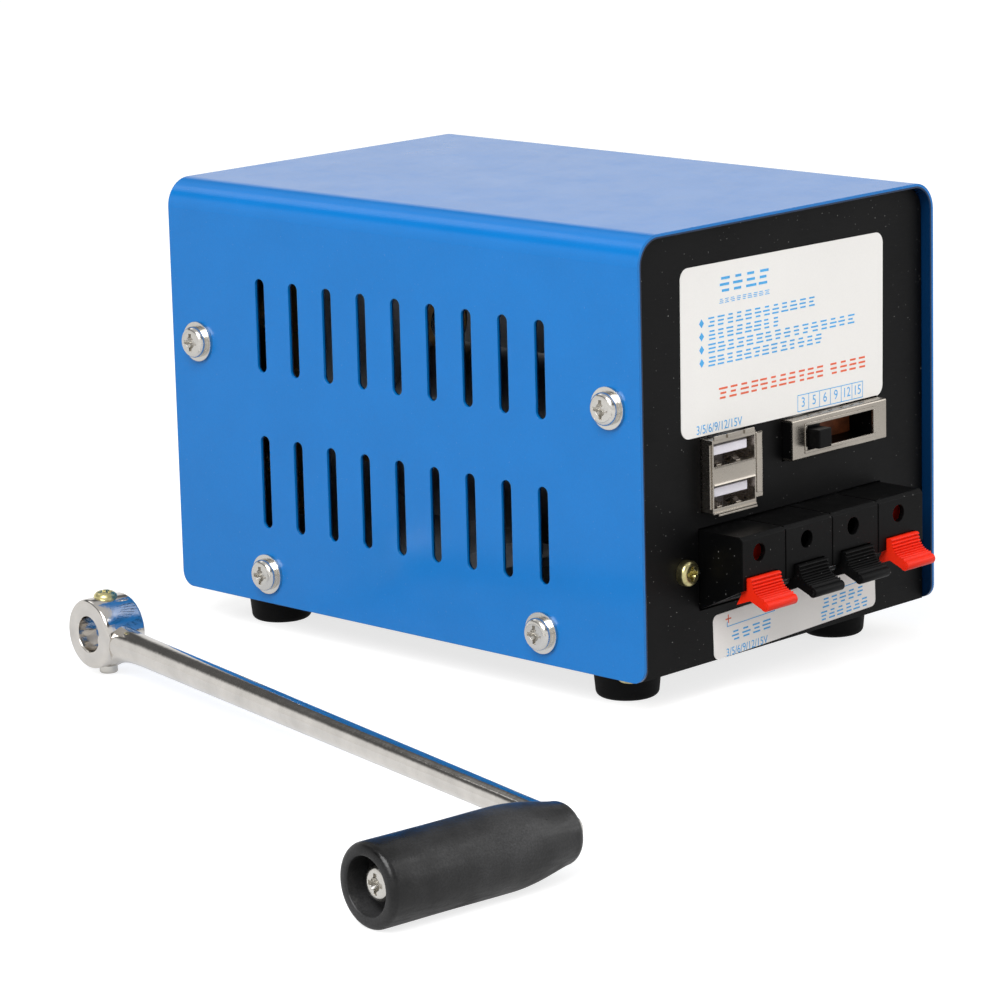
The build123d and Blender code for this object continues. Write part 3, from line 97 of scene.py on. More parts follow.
def newGroup(name, inputs, outputs):
    group = bpy.data.node_groups.new(name, "ShaderNodeTree")
    for title, kind, value in inputs:
        socket = group.interface.new_socket(title, in_out="INPUT", socket_type=kind)
        socket.default_value = value
    for title, kind in outputs:
        group.interface.new_socket(title, in_out="OUTPUT", socket_type=kind)
    return group, group.nodes.new("NodeGroupInput"), group.nodes.new("NodeGroupOutput")


# Noise on the object's own coordinates, its scale in features per metre, stretched along an axis
def objectNoise(tree, scaleFrom, detail=4.0, stretch=(1, 1, 1)):
    place = tree.nodes.new("ShaderNodeTexCoord")
    mapping = tree.nodes.new("ShaderNodeMapping")
    mapping.inputs["Scale"].default_value = stretch
    noise = tree.nodes.new("ShaderNodeTexNoise")
    noise.inputs["Detail"].default_value = detail
    tree.links.new(place.outputs["Object"], mapping.inputs["Vector"])
    tree.links.new(mapping.outputs["Vector"], noise.inputs["Vector"])
    tree.links.new(scaleFrom, noise.inputs["Scale"])
    return noise.outputs["Fac"]


def feed(tree, socket, value):
    if isinstance(value, (int, float)):
        socket.default_value = value
    else:
        tree.links.new(value, socket)


def mapRange(tree, value, low, high, fromLow=0.3, fromHigh=0.7):
    node = tree.nodes.new("ShaderNodeMapRange")
    node.inputs["From Min"].default_value = fromLow
    node.inputs["From Max"].default_value = fromHigh
    feed(tree, node.inputs["To Min"], low)
    feed(tree, node.inputs["To Max"], high)
    tree.links.new(value, node.inputs["Value"])
    return node.outputs["Result"]


def mathNode(tree, operation, first, second):
    node = tree.nodes.new("ShaderNodeMath")
    node.operation = operation
    feed(tree, node.inputs[0], first)
    feed(tree, node.inputs[1], second)
    return node.outputs[0]


# The grain's and the dust's scales are multiples of the drift's
toneSettings = {
    "grainScale": 45.0,
    "dustScale": 34.0,
    "dustFrom": 0.83,
    "dustTo": 0.87,
    "dustColor": (0.6, 0.6, 0.58, 1),
}


# Base colour that drifts lighter and darker over the surface, with fine grain and sparse pale dust
def makeToneGroup():
    tree, into, out = newGroup(
        "toneDrift",
        [("Color", "NodeSocketColor", (0.5, 0.5, 0.5, 1)), ("Drift", "NodeSocketFloat", 0.1),
         ("Scale", "NodeSocketFloat", 60.0), ("Speck", "NodeSocketFloat", 0.05),
         ("Dust", "NodeSocketFloat", 0.0)],
        [("Base Color", "NodeSocketColor")],
    )
    scale = into.outputs["Scale"]
    fine = objectNoise(tree, mathNode(tree, "MULTIPLY", scale, toneSettings["grainScale"]), 2.0)
    drift, speck = into.outputs["Drift"], into.outputs["Speck"]
    gain = mapRange(tree, objectNoise(tree, scale), mathNode(tree, "SUBTRACT", 1.0, drift),
                    mathNode(tree, "ADD", 1.0, drift))
    grain = mapRange(tree, fine, mathNode(tree, "SUBTRACT", 1.0, speck), mathNode(tree, "ADD", 1.0, speck))
    scaled = tree.nodes.new("ShaderNodeVectorMath")
    scaled.operation = "SCALE"
    tree.links.new(into.outputs["Color"], scaled.inputs[0])
    tree.links.new(mathNode(tree, "MULTIPLY", gain, grain), scaled.inputs["Scale"])
    dust = objectNoise(tree, mathNode(tree, "MULTIPLY", scale, toneSettings["dustScale"]), 0.0)
    spots = mapRange(tree, dust, 0.0, 1.0, toneSettings["dustFrom"], toneSettings["dustTo"])
    pale = mathNode(tree, "MULTIPLY", spots, into.outputs["Dust"])
    mix = tree.nodes.new("ShaderNodeMix")
    mix.data_type = "RGBA"
    mix.inputs["B"].default_value = toneSettings["dustColor"]
    tree.links.new(pale, mix.inputs["Factor"])
    tree.links.new(scaled.outputs["Vector"], mix.inputs["A"])
    tree.links.new(mix.outputs["Result"], out.inputs["Base Color"])
    return tree


# Roughness that varies with handling marks and fine scratches along one direction
def makeGlossGroup():
    tree, into, out = newGroup(
        "glossDrift",
        [("Roughness", "NodeSocketFloat", 0.3), ("Spread", "NodeSocketFloat", 0.05),
         ("Scale", "NodeSocketFloat", 80.0)],
        [("Roughness", "NodeSocketFloat")],
    )
    cloud = objectNoise(tree, into.outputs["Scale"], 5.0)
    streak = objectNoise(tree, mathNode(tree, "MULTIPLY", into.outputs["Scale"], 4.0), 2.0, (1.0, 1.0, 9.0))
    both = mathNode(tree, "ADD", mathNode(tree, "MULTIPLY", cloud, 0.65),
                    mathNode(tree, "MULTIPLY", streak, 0.35))
    low = mathNode(tree, "SUBTRACT", into.outputs["Roughness"], into.outputs["Spread"])
    high = mathNode(tree, "ADD", into.outputs["Roughness"], into.outputs["Spread"])
    tree.links.new(mapRange(tree, both, low, high), out.inputs["Roughness"])
    return tree


# Height of a fine surface texture: a rolling part and a granular part
def makeReliefGroup():
    tree, into, out = newGroup(
        "surfaceRelief",
        [("Scale", "NodeSocketFloat", 400.0), ("Grain", "NodeSocketFloat", 0.5)],
        [("Bump Height", "NodeSocketFloat")],
    )
    rolling = objectNoise(tree, into.outputs["Scale"], 3.0)
    grain = objectNoise(tree, mathNode(tree, "MULTIPLY", into.outputs["Scale"], 9.0), 2.0)
    rest = mathNode(tree, "SUBTRACT", 1.0, into.outputs["Grain"])
    coarse = mathNode(tree, "MULTIPLY", rolling, rest)
    height = mathNode(tree, "ADD", coarse, mathNode(tree, "MULTIPLY", grain, into.outputs["Grain"]))
    tree.links.new(height, out.inputs["Bump Height"])
    return tree


toneGroup, glossGroup, reliefGroup = makeToneGroup(), makeGlossGroup(), makeReliefGroup()


# Mask for painted shade, 1 on the cover's inner side, which is given a darker colour as painted shade. It is
# found from the distance to the rounded rectangle that its outer
# side follows: the length of the point's reach past the corner's centre, less the corner's radius
def paintedShadeInsideCover(tree, settings):
    place = tree.nodes.new("ShaderNodeTexCoord")
    split = tree.nodes.new("ShaderNodeSeparateXYZ")
    tree.links.new(place.outputs["Object"], split.inputs["Vector"])
    sideways = mathNode(tree, "ABSOLUTE", mathNode(tree, "SUBTRACT", split.outputs["X"], caseHome.x), 0.0)
    reaches = [
        mathNode(tree, "SUBTRACT", sideways, settings["halfWidth"] - settings["corner"]),
        mathNode(tree, "SUBTRACT", split.outputs["Z"], settings["top"] - settings["corner"]),
    ]
    squares = [mathNode(tree, "POWER", mathNode(tree, "MAXIMUM", reach, 0.0), 2.0) for reach in reaches]
    outside = mathNode(tree, "POWER", mathNode(tree, "ADD", *squares), 0.5)
    within = mathNode(tree, "MINIMUM", mathNode(tree, "MAXIMUM", *reaches), 0.0)
    distance = mathNode(tree, "ADD", outside, within)
    return mathNode(tree, "LESS_THAN", distance, settings["corner"] - settings["depth"])


def useGroup(tree, group, values):
    node = tree.nodes.new("ShaderNodeGroup")
    node.node_tree = group
    for title, value in values.items():
        node.inputs[title].default_value = value
    return node


# A Principled material with tone drift, gloss drift and fine relief, rounded edges where asked, and painted
# shade on the cover's inner side where asked
def makeMaterial(name, settings):
    material = bpy.data.materials.new(name)
    material.use_nodes = True
    tree = material.node_tree
    shader = tree.nodes["Principled BSDF"]
    tone = useGroup(tree, toneGroup, {
        "Color": (*settings["color"], 1), "Drift": settings.get("drift", 0.06),
        "Scale": settings.get("toneScale", 60.0), "Speck": settings.get("speck", 0.03),
        "Dust": settings.get("dust", 0.0),
    })
    # Painted shade: where asked, the cover's inner side gets a darker colour in place of its lit colour
    if settings.get("inside"):
        mix = tree.nodes.new("ShaderNodeMix")
        mix.data_type = "RGBA"
        mix.inputs["B"].default_value = settings["inside"]["color"]
        tree.links.new(paintedShadeInsideCover(tree, settings["inside"]), mix.inputs["Factor"])
        tree.links.new(tone.outputs["Base Color"], mix.inputs["A"])
        tree.links.new(mix.outputs["Result"], shader.inputs["Base Color"])
    else:
        tree.links.new(tone.outputs["Base Color"], shader.inputs["Base Color"])
    gloss = useGroup(tree, glossGroup, {
        "Roughness": settings["roughness"], "Spread": settings.get("spread", settings["roughness"] * 0.2),
        "Scale": settings.get("glossScale", 90.0),
    })
    tree.links.new(gloss.outputs["Roughness"], shader.inputs["Roughness"])
    relief = useGroup(tree, reliefGroup, {
        "Scale": settings.get("reliefScale", 500.0), "Grain": settings.get("grain", 0.5),
    })
    bump = tree.nodes.new("ShaderNodeBump")
    bump.inputs["Strength"].default_value = settings.get("reliefStrength", 0.15)
    bump.inputs["Distance"].default_value = settings.get("reliefDepth", 0.00005)
    tree.links.new(relief.outputs["Bump Height"], bump.inputs["Height"])
    if settings.get("edge"):
        edge = tree.nodes.new("ShaderNodeBevel")
        edge.samples = 4
        edge.inputs["Radius"].default_value = settings["edge"]
        tree.links.new(edge.outputs["Normal"], bump.inputs["Normal"])
    tree.links.new(bump.outputs["Normal"], shader.inputs["Normal"])
    shader.inputs["Metallic"].default_value = settings.get("metallic", 0.0)
    shader.inputs["IOR"].default_value = 1.5
    shader.inputs["Specular IOR Level"].default_value = settings.get("specular", 0.5)
    return material


finishes = {
    "bluePaint": {"color": (0.001, 0.17, 0.53), "roughness": 0.2, "specular": 0.36, "drift": 0.03,
                  "speck": 0.03, "dust": 0.05, "reliefScale": 260.0, "reliefStrength": 0.08,
                  "reliefDepth": 0.00003, "edge": 0.0003,
                  # inside: darker navy on the cover's inner side, painted shade
                  "inside": {"color": (0.001, 0.022, 0.075, 1), "halfWidth": 0.05, "top": 0.1058,
                             "corner": 0.0065, "depth": 0.0006}},
    "blackPaint": {"color": (0.002, 0.002, 0.0022), "roughness": 0.46, "specular": 0.11, "dust": 0.3,
                   "reliefScale": 1400.0, "reliefStrength": 0.3, "edge": 0.0002},
    "brightSteel": {"color": (0.66, 0.64, 0.6), "roughness": 0.2, "metallic": 1.0, "edge": 0.00015},
    "zincSteel": {"color": (0.5, 0.51, 0.53), "roughness": 0.36, "metallic": 1.0, "drift": 0.12},
    "yellowZinc": {"color": (0.6, 0.54, 0.27), "roughness": 0.3, "metallic": 1.0, "drift": 0.35,
                   "toneScale": 420.0, "edge": 0.00015},
    "blackRubber": {"color": (0.002, 0.002, 0.0022), "roughness": 0.6, "specular": 0.12, "drift": 0.2,
                    "reliefStrength": 0.3},
    "labelFilm": {"color": (0.9, 0.88, 0.85), "roughness": 0.5, "specular": 0.3, "drift": 0.012,
                  "speck": 0.01},
    "nickelSheet": {"color": (0.4, 0.365, 0.32), "roughness": 0.27, "metallic": 1.0, "drift": 0.1,
                    "edge": 0.00012},
    "whitePlastic": {"color": (0.83, 0.8, 0.86), "roughness": 0.4, "edge": 0.00015},
    "goldContact": {"color": (0.8, 0.6, 0.28), "roughness": 0.22, "metallic": 1.0},
    "blackPlastic": {"color": (0.0015, 0.0015, 0.0016), "roughness": 0.44, "specular": 0.09, "speck": 0.12,
                     "dust": 0.3, "reliefScale": 900.0, "reliefStrength": 0.3, "edge": 0.00025},
    "brownBoard": {"color": (0.2, 0.055, 0.018), "roughness": 0.45, "drift": 0.45, "toneScale": 500.0},
    "tinnedBrass": {"color": (0.66, 0.64, 0.58), "roughness": 0.3, "metallic": 1.0},
    "redPlastic": {"color": (0.78, 0.02, 0.004), "roughness": 0.4, "specular": 0.18, "speck": 0.04,
                   "reliefScale": 700.0, "edge": 0.00012},
    "greenBoard": {"color": (0.012, 0.12, 0.045), "roughness": 0.35, "drift": 0.1},
    "brass": {"color": (0.72, 0.53, 0.25), "roughness": 0.3, "metallic": 1.0},
    "ferrite": {"color": (0.04, 0.04, 0.043), "roughness": 0.55},
    "copper": {"color": (0.68, 0.3, 0.16), "roughness": 0.32, "metallic": 1.0},
    "aluminium": {"color": (0.68, 0.69, 0.7), "roughness": 0.35, "metallic": 1.0},
    "tanLacquer": {"color": (0.6, 0.44, 0.3), "roughness": 0.4},
    "bronze": {"color": (0.5, 0.34, 0.17), "roughness": 0.4, "metallic": 1.0},
    "graphite": {"color": (0.03, 0.03, 0.033), "roughness": 0.5},
    "lamination": {"color": (0.3, 0.31, 0.33), "roughness": 0.4, "metallic": 1.0},
    "redInsulation": {"color": (0.55, 0.015, 0.01), "roughness": 0.4},
    "blackInsulation": {"color": (0.015, 0.015, 0.015), "roughness": 0.4},
    "nickelCasting": {"color": (0.68, 0.65, 0.61), "roughness": 0.11, "metallic": 1.0, "drift": 0.1,
                      "toneScale": 150.0, "reliefScale": 130.0, "grain": 0.16, "reliefStrength": 0.35,
                      "reliefDepth": 0.00022},
    "gripPlastic": {"color": (0.019, 0.019, 0.0195), "roughness": 0.4, "spread": 0.24, "glossScale": 60.0,
                    "specular": 0.3, "drift": 0.9, "speck": 0.3, "toneScale": 62.0, "reliefScale": 170.0,
                    "grain": 0.25, "reliefStrength": 0.5, "reliefDepth": 0.0003},
    "bluePrint": {"color": (0.06, 0.4, 0.8), "roughness": 0.5, "drift": 0.08, "speck": 0.06},
    "orangePrint": {"color": (0.8, 0.13, 0.045), "roughness": 0.5, "drift": 0.08, "speck": 0.06},
}
slotFinish = {
    "blue_paint": "bluePaint", "black_paint": "blackPaint", "bright_steel": "brightSteel",
    "zinc_steel": "zincSteel", "black_rubber": "blackRubber", "yellow_zinc": "yellowZinc",
    "label_film": "labelFilm",
    "nickel_sheet": "nickelSheet", "white_plastic": "whitePlastic", "gold_contact": "goldContact",
    "black_plastic": "blackPlastic", "brown_board": "brownBoard", "tinned_brass": "tinnedBrass",
    "red_plastic": "redPlastic", "green_board": "greenBoard", "brass": "brass", "ferrite": "ferrite",
    "copper": "copper", "aluminium": "aluminium", "tan_plastic": "tanLacquer", "bronze": "bronze",
    "graphite": "graphite", "lamination": "lamination", "red_insulation": "redInsulation",
    "black_insulation": "blackInsulation", "nickel_casting": "nickelCasting", "crank_screw_zinc": "yellowZinc",
    "grip_plastic": "gripPlastic",
}
materials = {name: makeMaterial(name, settings) for name, settings in finishes.items()}

for entry in frame["record"]["subparts"]:
    node = frame["nodes"][entry["node"]]
    node.data.materials.clear()
    node.data.materials.append(materials[slotFinish[entry["material_slot"]]])
print("materials made", len(materials))

# Surfaces worked out as grids


# Quads between neighbouring rows and columns of a grid, wrapped round where a direction is closed
def gridFaces(rows, columns, closeRows, closeColumns):
    a = np.arange(rows if closeRows else rows - 1)[:, None]
    b = np.arange(columns if closeColumns else columns - 1)[None, :]
    nextA, nextB = (a + 1) % rows, (b + 1) % columns
    corners = (a * columns + b, nextA * columns + b, nextA * columns + nextB, a * columns + nextB)
    return np.stack([np.broadcast_to(c, (a.size, b.size)).ravel() for c in corners], axis=1)


# A closed shell from a grid of points: closed round its columns, and either closed round its rows
# as well or shut at both ends by a flat face
def shell(grid, closeRows=False):
    rows, columns = grid.shape[:2]
    faces = gridFaces(rows, columns, closeRows, True).tolist()
    if not closeRows:
        faces.append(list(range(columns)))
        faces.append(list(range((rows - 1) * columns, rows * columns)))
    return grid.reshape(-1, 3), faces


def joinShells(shells):
    points, faces, start = [], [], 0
    for shellPoints, shellFaces in shells:
        points.append(shellPoints)
        faces += [[start + i for i in face] for face in shellFaces]
        start += len(shellPoints)
    return np.concatenate(points), faces


# Puts a piece in the rest frame: points in millimetres of the case's frame, faces turned outwards
def newPiece(name, shapes, finish, body="case", replaces=(), sharpDegrees=38.0, bevelMm=0.0):
    points, faces = joinShells(shapes)
    mesh = bpy.data.meshes.new(name)
    mesh.from_pydata((points * mm + np.array(caseHome)).tolist(), [], faces)
    work = bmesh.new()
    work.from_mesh(mesh)
    bmesh.ops.recalc_face_normals(work, faces=work.faces)
    work.to_mesh(mesh)
    work.free()
    mesh.polygons.foreach_set("use_smooth", np.ones(len(mesh.polygons), bool))
    mesh.set_sharp_from_angle(angle=math.radians(sharpDegrees))
    mesh.materials.append(materials[finish])
    piece = bpy.data.objects.new(name, mesh)
    bpy.context.scene.collection.objects.link(piece)
    if bevelMm:
        bevel = piece.modifiers.new("edges", "BEVEL")
        bevel.width, bevel.segments, bevel.limit_method = bevelMm * mm, 2, "ANGLE"
        bevel.angle_limit = math.radians(50)
    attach(piece, body)
    if replaces:
        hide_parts(*replaces)
    return piece


cornerSigns = np.array([(x, y, z) for x in (-1, 1) for y in (-1, 1) for z in (-1, 1)])


# Many small blocks at once: eight corners each, from their middles and half sizes
def blocks(middles, halves):
    points = np.asarray(middles)[:, None, :] + cornerSigns[None] * np.asarray(halves)[:, None, :]
    sides = np.array([(0, 1, 3, 2), (4, 6, 7, 5), (0, 4, 5, 1), (2, 3, 7, 6), (0, 2, 6, 4), (1, 5, 7, 3)])
    faces = (sides[None] + 8 * np.arange(len(middles))[:, None, None]).reshape(-1, 4)
    return points.reshape(-1, 3), faces.tolist()


# Points on a circle from one angle to another about a centre
def arc(centre, radius, startDegrees, endDegrees, count):
    angle = np.radians(np.linspace(startDegrees, endDegrees, count))
    return np.stack([centre[0] + radius * np.cos(angle), centre[1] + radius * np.sin(angle)], axis=1)


# Crank

crankSettings = {
    "placeMm": (-95.8, 49.5, 9.8),
    "turnDegrees": 5.5,
    "collarRadius": 8.0,
    "collarHalf": 5.3,
    "boreRadius": 4.05,
    "collarRound": 0.9,
    "boreRound": 0.45,
    "armRoot": (0.0, 0.0, -1.3),
    "armEnd": (24.1, 187.5, -1.4),
    "overrun": 2.1,
    "tipRound": 2.7,
    "rootRadius": 3.5,
    "endRadius": 2.75,
    "flareLength": 22.0,
    "flareStart": 3.5,
    "flareWide": 4.3,
    "flareTop": 4.0,
    "flareBottom": 6.4,
    "flarePower": 2.2,
    "bottomPower": 3.2,
    "flatOffset": 0.8,
    "flatLength": 7.0,
    "flatThickness": 2.6,
}
crankTurn = math.radians(crankSettings["turnDegrees"])
crankAxes = np.array((
    (-math.cos(crankTurn), math.sin(crankTurn), 0.0),
    (-math.sin(crankTurn), -math.cos(crankTurn), 0.0),
    (0.0, 0.0, 1.0),
))


def fromCrank(points):
    return points @ crankAxes + np.array(crankSettings["placeMm"])


# Turned shape: each profile point (along the x axis, distance from it) goes round the axis in a circle
def turned(profile, count, centre=(0.0, 0.0)):
    angle = np.linspace(0, 2 * np.pi, count, endpoint=False)[:, None]
    along, radius = profile[:, 0][None, :], profile[:, 1][None, :]
    return np.stack([np.broadcast_to(along, (count, len(profile))),
                     centre[0] + radius * np.cos(angle), centre[1] + radius * np.sin(angle)], axis=2)


def makeCollar(settings):
    half, outer, inner = settings["collarHalf"], settings["collarRadius"], settings["boreRadius"]
    big, small = settings["collarRound"], settings["boreRound"]
    profile = np.concatenate([
        arc((half - big, outer - big), big, 90, 0, 7),
        arc((half - small, inner + small), small, 0, -90, 5),
        arc((-half + small, inner + small), small, -90, -180, 5),
        arc((-half + big, outer - big), big, 180, 90, 7),
    ])
    return shell(fromCrank(turned(profile, 96)), closeRows=True)


# Rod: an ellipse carried along the straight arm; its half width, upper and lower half height fall from
# the flare's to the rod's with a power of the distance left, and the end is cut flat on both sides
def makeRod(settings):
    root = np.array(settings["armRoot"])
    along = np.array(settings["armEnd"]) - root
    reach = np.linalg.norm(along)
    along /= reach
    side = np.cross(along, (0.0, 0.0, 1.0))
    side /= np.linalg.norm(side)
    up = np.cross(side, along)
    total = reach + settings["overrun"]
    start = settings["flareStart"]
    tip = total - settings["tipRound"]
    distance = np.concatenate([
        np.linspace(start, settings["flareLength"], 28), np.linspace(settings["flareLength"], tip, 90)[1:],
        tip + settings["tipRound"] * np.sin(np.linspace(0.15, 1.5, 10)),
    ])
    rod = np.interp(distance, (0, reach), (settings["rootRadius"], settings["endRadius"]))
    left = np.clip((settings["flareLength"] - distance) / (settings["flareLength"] - start), 0, 1)
    wide = rod + (settings["flareWide"] - settings["rootRadius"]) * left ** settings["flarePower"]
    top = rod + (settings["flareTop"] - settings["rootRadius"]) * left ** settings["flarePower"]
    bottom = rod + (settings["flareBottom"] - settings["rootRadius"]) * left ** settings["bottomPower"]
    tipped = np.sqrt(np.clip(1 - (np.clip(distance - tip, 0, None) / settings["tipRound"]) ** 2, 0.01, 1))
    angle = np.linspace(0, 2 * np.pi, 48, endpoint=False)[None, :]
    across = (wide * tipped)[:, None] * np.cos(angle)
    upward = tipped[:, None] * np.where(np.sin(angle) > 0, top[:, None], bottom[:, None]) * np.sin(angle)
    grid = root + distance[:, None, None] * along + across[:, :, None] * side + upward[:, :, None] * up
    flat = settings["armEnd"][0] + settings["flatOffset"]
    near = grid[:, :, 1] > settings["armEnd"][1] - settings["flatLength"]
    pressed = np.clip(grid[:, :, 0], flat - settings["flatThickness"], flat)
    grid[:, :, 0] = np.where(near, pressed, grid[:, :, 0])
    return shell(fromCrank(grid))


newPiece("crankArm", [makeCollar(crankSettings), makeRod(crankSettings)], "nickelCasting",
         "crank", ("crank_arm",))

gripSettings = {
    "rear": 25.3,
    "length": 49.4,
    "centreYz": (187.5, -1.4),
    "radius": 8.4,
    "rearRadius": 6.35,
    "rearRound": 2.4,
    "taper": 17.0,
    "frontRound": 1.5,
    "lipRound": 0.5,
    "recessRadius": 5.75,
    "recessDepth": 5.4,
    "boreRadius": 1.56,
    "shoulderPower": 1.15,
    "waistDepth": 0.05,
}


# Grip: a turned profile, from the bore round the rounded rear end, up a shoulder that eases into the
# barrel as a smooth step, round the front edge and down into the recess
def makeGrip(settings):
    rear, front = settings["rear"], settings["rear"] + settings["length"]
    outer, low, roundRear = settings["radius"], settings["rearRadius"], settings["rearRound"]
    lip = settings["lipRound"]
    share = np.linspace(0, 1, 22)
    eased = np.sin(share * np.pi / 2) ** settings["shoulderPower"]
    shoulder = np.stack([rear + roundRear + share * (settings["taper"] - roundRear),
                         low + (outer - low) * eased], axis=1)
    barrel = np.stack([np.linspace(rear + settings["taper"], front - settings["frontRound"], 30)[1:-1],
                       np.full(28, outer)], axis=1)
    barrel[:, 1] -= settings["waistDepth"] * np.sin(np.linspace(0, np.pi, 28)) ** 2
    profile = np.concatenate([
        np.array([(rear, settings["boreRadius"])]),
        arc((rear + roundRear, low - roundRear), roundRear, 180, 100, 9),
        shoulder, barrel,
        arc((front - settings["frontRound"], outer - settings["frontRound"]), settings["frontRound"], 90, 8, 9),
        arc((front - lip, settings["recessRadius"] + lip), lip, 0, -90, 5),
        np.array([(front - settings["recessDepth"], settings["recessRadius"]),
                  (front - settings["recessDepth"], settings["boreRadius"])]),
    ])
    return shell(fromCrank(turned(profile, 96, settings["centreYz"])), closeRows=True)


clampScrewSettings = {
    "baseMm": (0.0, 0.0, 7.5),
    "radius": 2.65,
    "height": 1.85,
    "rimHeight": 0.8,
    "crossHalf": 0.42,
    "crossReach": 1.5,
    "crossDepth": 0.8,
    "sideSteepness": 18.0,
    "endSteepness": 12.0,
    "domePower": 4.0,
}


# Screw head: height over a disc, a flattened dome with a cross-shaped pit whose walls follow a steep
# smooth step, standing on a short rim
def makeClampScrew(settings):
    angle = np.linspace(0, 2 * np.pi, 96, endpoint=False)[None, :]
    share = np.linspace(1, 0.03, 40)[:, None]
    radius = settings["radius"] * share
    x, y = radius * np.cos(angle), radius * np.sin(angle)
    rise = (settings["height"] - settings["rimHeight"]) * (1 - share ** settings["domePower"])
    dome = settings["rimHeight"] + rise + 0 * angle
    narrow, wide = np.minimum(abs(x), abs(y)), np.maximum(abs(x), abs(y))
    inside = (1 / (1 + np.exp(settings["sideSteepness"] * (narrow - settings["crossHalf"])))
              / (1 + np.exp(settings["endSteepness"] * (wide - settings["crossReach"]))))
    top = np.stack([x, y, dome - settings["crossDepth"] * inside], axis=2)
    foot = np.stack([top[0, :, 0], top[0, :, 1], np.zeros(angle.size)], axis=1)[None]
    return shell(fromCrank(np.concatenate([foot, top]) + np.array(settings["baseMm"])))


newPiece("clampScrewHead", [makeClampScrew(clampScrewSettings)], "yellowZinc", "crank",
         ("crank_clamp_screw",))
newPiece("gripBody", [makeGrip(gripSettings)], "gripPlastic", "grip", ("grip",), 30.0)
print("crank and grip made")

# Terminal levers

# Side view places are (distance in front of the panel, height)
leverSettings = {
    "middles": (-22.6, -6.6, 9.4, 25.4),
    "halfWidth": 4.9,
    "crest": (13.3, 29.2),
    "bow": (14.5, 25.9),
    "tip": (17.4, 23.5),
    "tipRadius": 1.15,
    "pivot": (8.2, 28.2),
    "pivotRadius": 1.0,
    "pivotHalf": 5.8,
    "ringRadius": 0.62,
    "ringHalf": 5.02,
    "endLength": 0.15,
    "endShrink": 0.985,
    "ribCount": 9,
    "ribHeight": 0.55,
    "finish": ("redPlastic", "blackPlastic", "blackPlastic", "redPlastic"),
    "slots": ("red_plastic", "black_plastic", "black_plastic", "red_plastic"),
    "bodies": ("lever_one", "lever_two", "lever_three", "lever_four"),
    "under": ((13.2, 24.1), (9.3, 22.7), (10.8, 25.5), (7.2, 26.6), (7.2, 36.0), (8.6, 36.0),
              (8.6, 29.0), (12.2, 29.0)),
}


# Lever side view: a parabola through crest, bow and tip, with ribs standing off it as the height of a
# rectified sine, then a round roll, then straight runs back underneath
def leverProfile(settings):
    share = np.linspace(0, 1, 97)
    crest, bow, tip = (np.array(settings[key]) for key in ("crest", "bow", "tip"))
    tip = tip + (0.0, settings["tipRadius"] * 0.9)
    control = 2 * bow - (crest + tip) / 2
    weights = np.stack([(1 - share) ** 2, 2 * share * (1 - share), share ** 2])[:, :, None]
    curve = weights[0] * crest + weights[1] * control + weights[2] * tip
    slope = np.gradient(curve, axis=0)
    normal = np.stack([-slope[:, 1], slope[:, 0]], axis=1)
    normal /= np.linalg.norm(normal, axis=1)[:, None]
    ribs = settings["ribHeight"] * np.abs(np.sin(np.pi * settings["ribCount"] * share)) ** 0.8
    ribbed = curve + normal * ribs[:, None]
    roll = arc(settings["tip"], settings["tipRadius"], 88, -140, 20)
    return np.concatenate([ribbed, roll[1:], np.array(settings["under"])])


def makeLever(settings, middle):
    profile = leverProfile(settings)
    inner = profile.mean(axis=0)
    half, end, small = settings["halfWidth"], settings["endLength"], settings["endShrink"]
    rows = []
    for offset, shrink in ((-half, small), (-half + end, 1.0), (half - end, 1.0), (half, small)):
        section = inner + (profile - inner) * shrink
        across = np.full(len(section), middle + offset)
        rows.append(np.stack([across, caseMm["frontY"] - section[:, 0], section[:, 1]], axis=1))
    return shell(np.array(rows))


# Round bar across a lever: its pivot, and the ring at the end of its roll
def makeLeverRound(settings, middle, title, place):
    angle = np.linspace(0, 2 * np.pi, 24, endpoint=False)
    radius, half = settings[title + "Radius"], settings[title + "Half"]
    y = caseMm["frontY"] - place[0] + radius * np.cos(angle)
    z = place[1] + radius * np.sin(angle)
    rows = [np.stack([np.full(angle.size, middle + side * half), y, z], axis=1) for side in (-1, 1)]
    return shell(np.array(rows))


for i, middle in enumerate(leverSettings["middles"]):
    pivot = makeLeverRound(leverSettings, middle, "pivot", leverSettings["pivot"])
    ring = makeLeverRound(leverSettings, middle, "ring", leverSettings["tip"])
    newPiece(f"leverPad{i + 1}", [makeLever(leverSettings, middle), pivot, ring], leverSettings["finish"][i],
             leverSettings["bodies"][i], (f"lever_{i + 1}",), 42.0)
print("levers made")

# Sheet details of the USB socket and the slide switch

usbSettings = {
    "left": -27.8,
    "right": -13.2,
    "bottom": 42.2,
    "top": 58.4,
    "frontY": -75.0,
    "portFloors": (43.1, 52.4),
    "portHeight": 5.1,
    "springHalf": 0.8,
    "springLength": 3.4,
    "springHeight": 0.75,
    "springX": (-24.6, -18.2),
    "springBack": 0.7,
    "springClear": 0.02,
    "springSheet": (0.0, 0.0, 0.2),
    "tongue": (-26.8, -14.5, -74.3, -58.75, 0.9),
    "tongueDrop": 0.7,
    "tongueThickness": 2.0,
    "baseHalf": 3.5,
    "baseClear": (0.4, 0.05),
    "dividerInsets": (0.5, 0.3),
    "dividerProud": 0.32,
    "dividerBow": 0.3,
    "foldLeft": -12.4,
    "foldWidth": 2.3,
    "foldDepth": 0.9,
    "foldBottom": 44.2,
    "foldTop": 57.6,
    "sheet": (0.0, 0.3, 0.0),
    # half sizes and how far the middles lie in front of the sheet
    "sideLip": (0.22, 0.2),
    "lowerLip": (7.2, 0.2, 0.2),
    "lipProud": 0.12,
    "hem": (6.4, 0.16, 0.22),
    "hemProud": 0.5,
    "tooth": (0.18, 0.5),
    "toothProud": 0.15,
    "toothPlaces": ((-25.6, 1.6), (-20.5, 2.2), (-15.4, 1.6)),
}


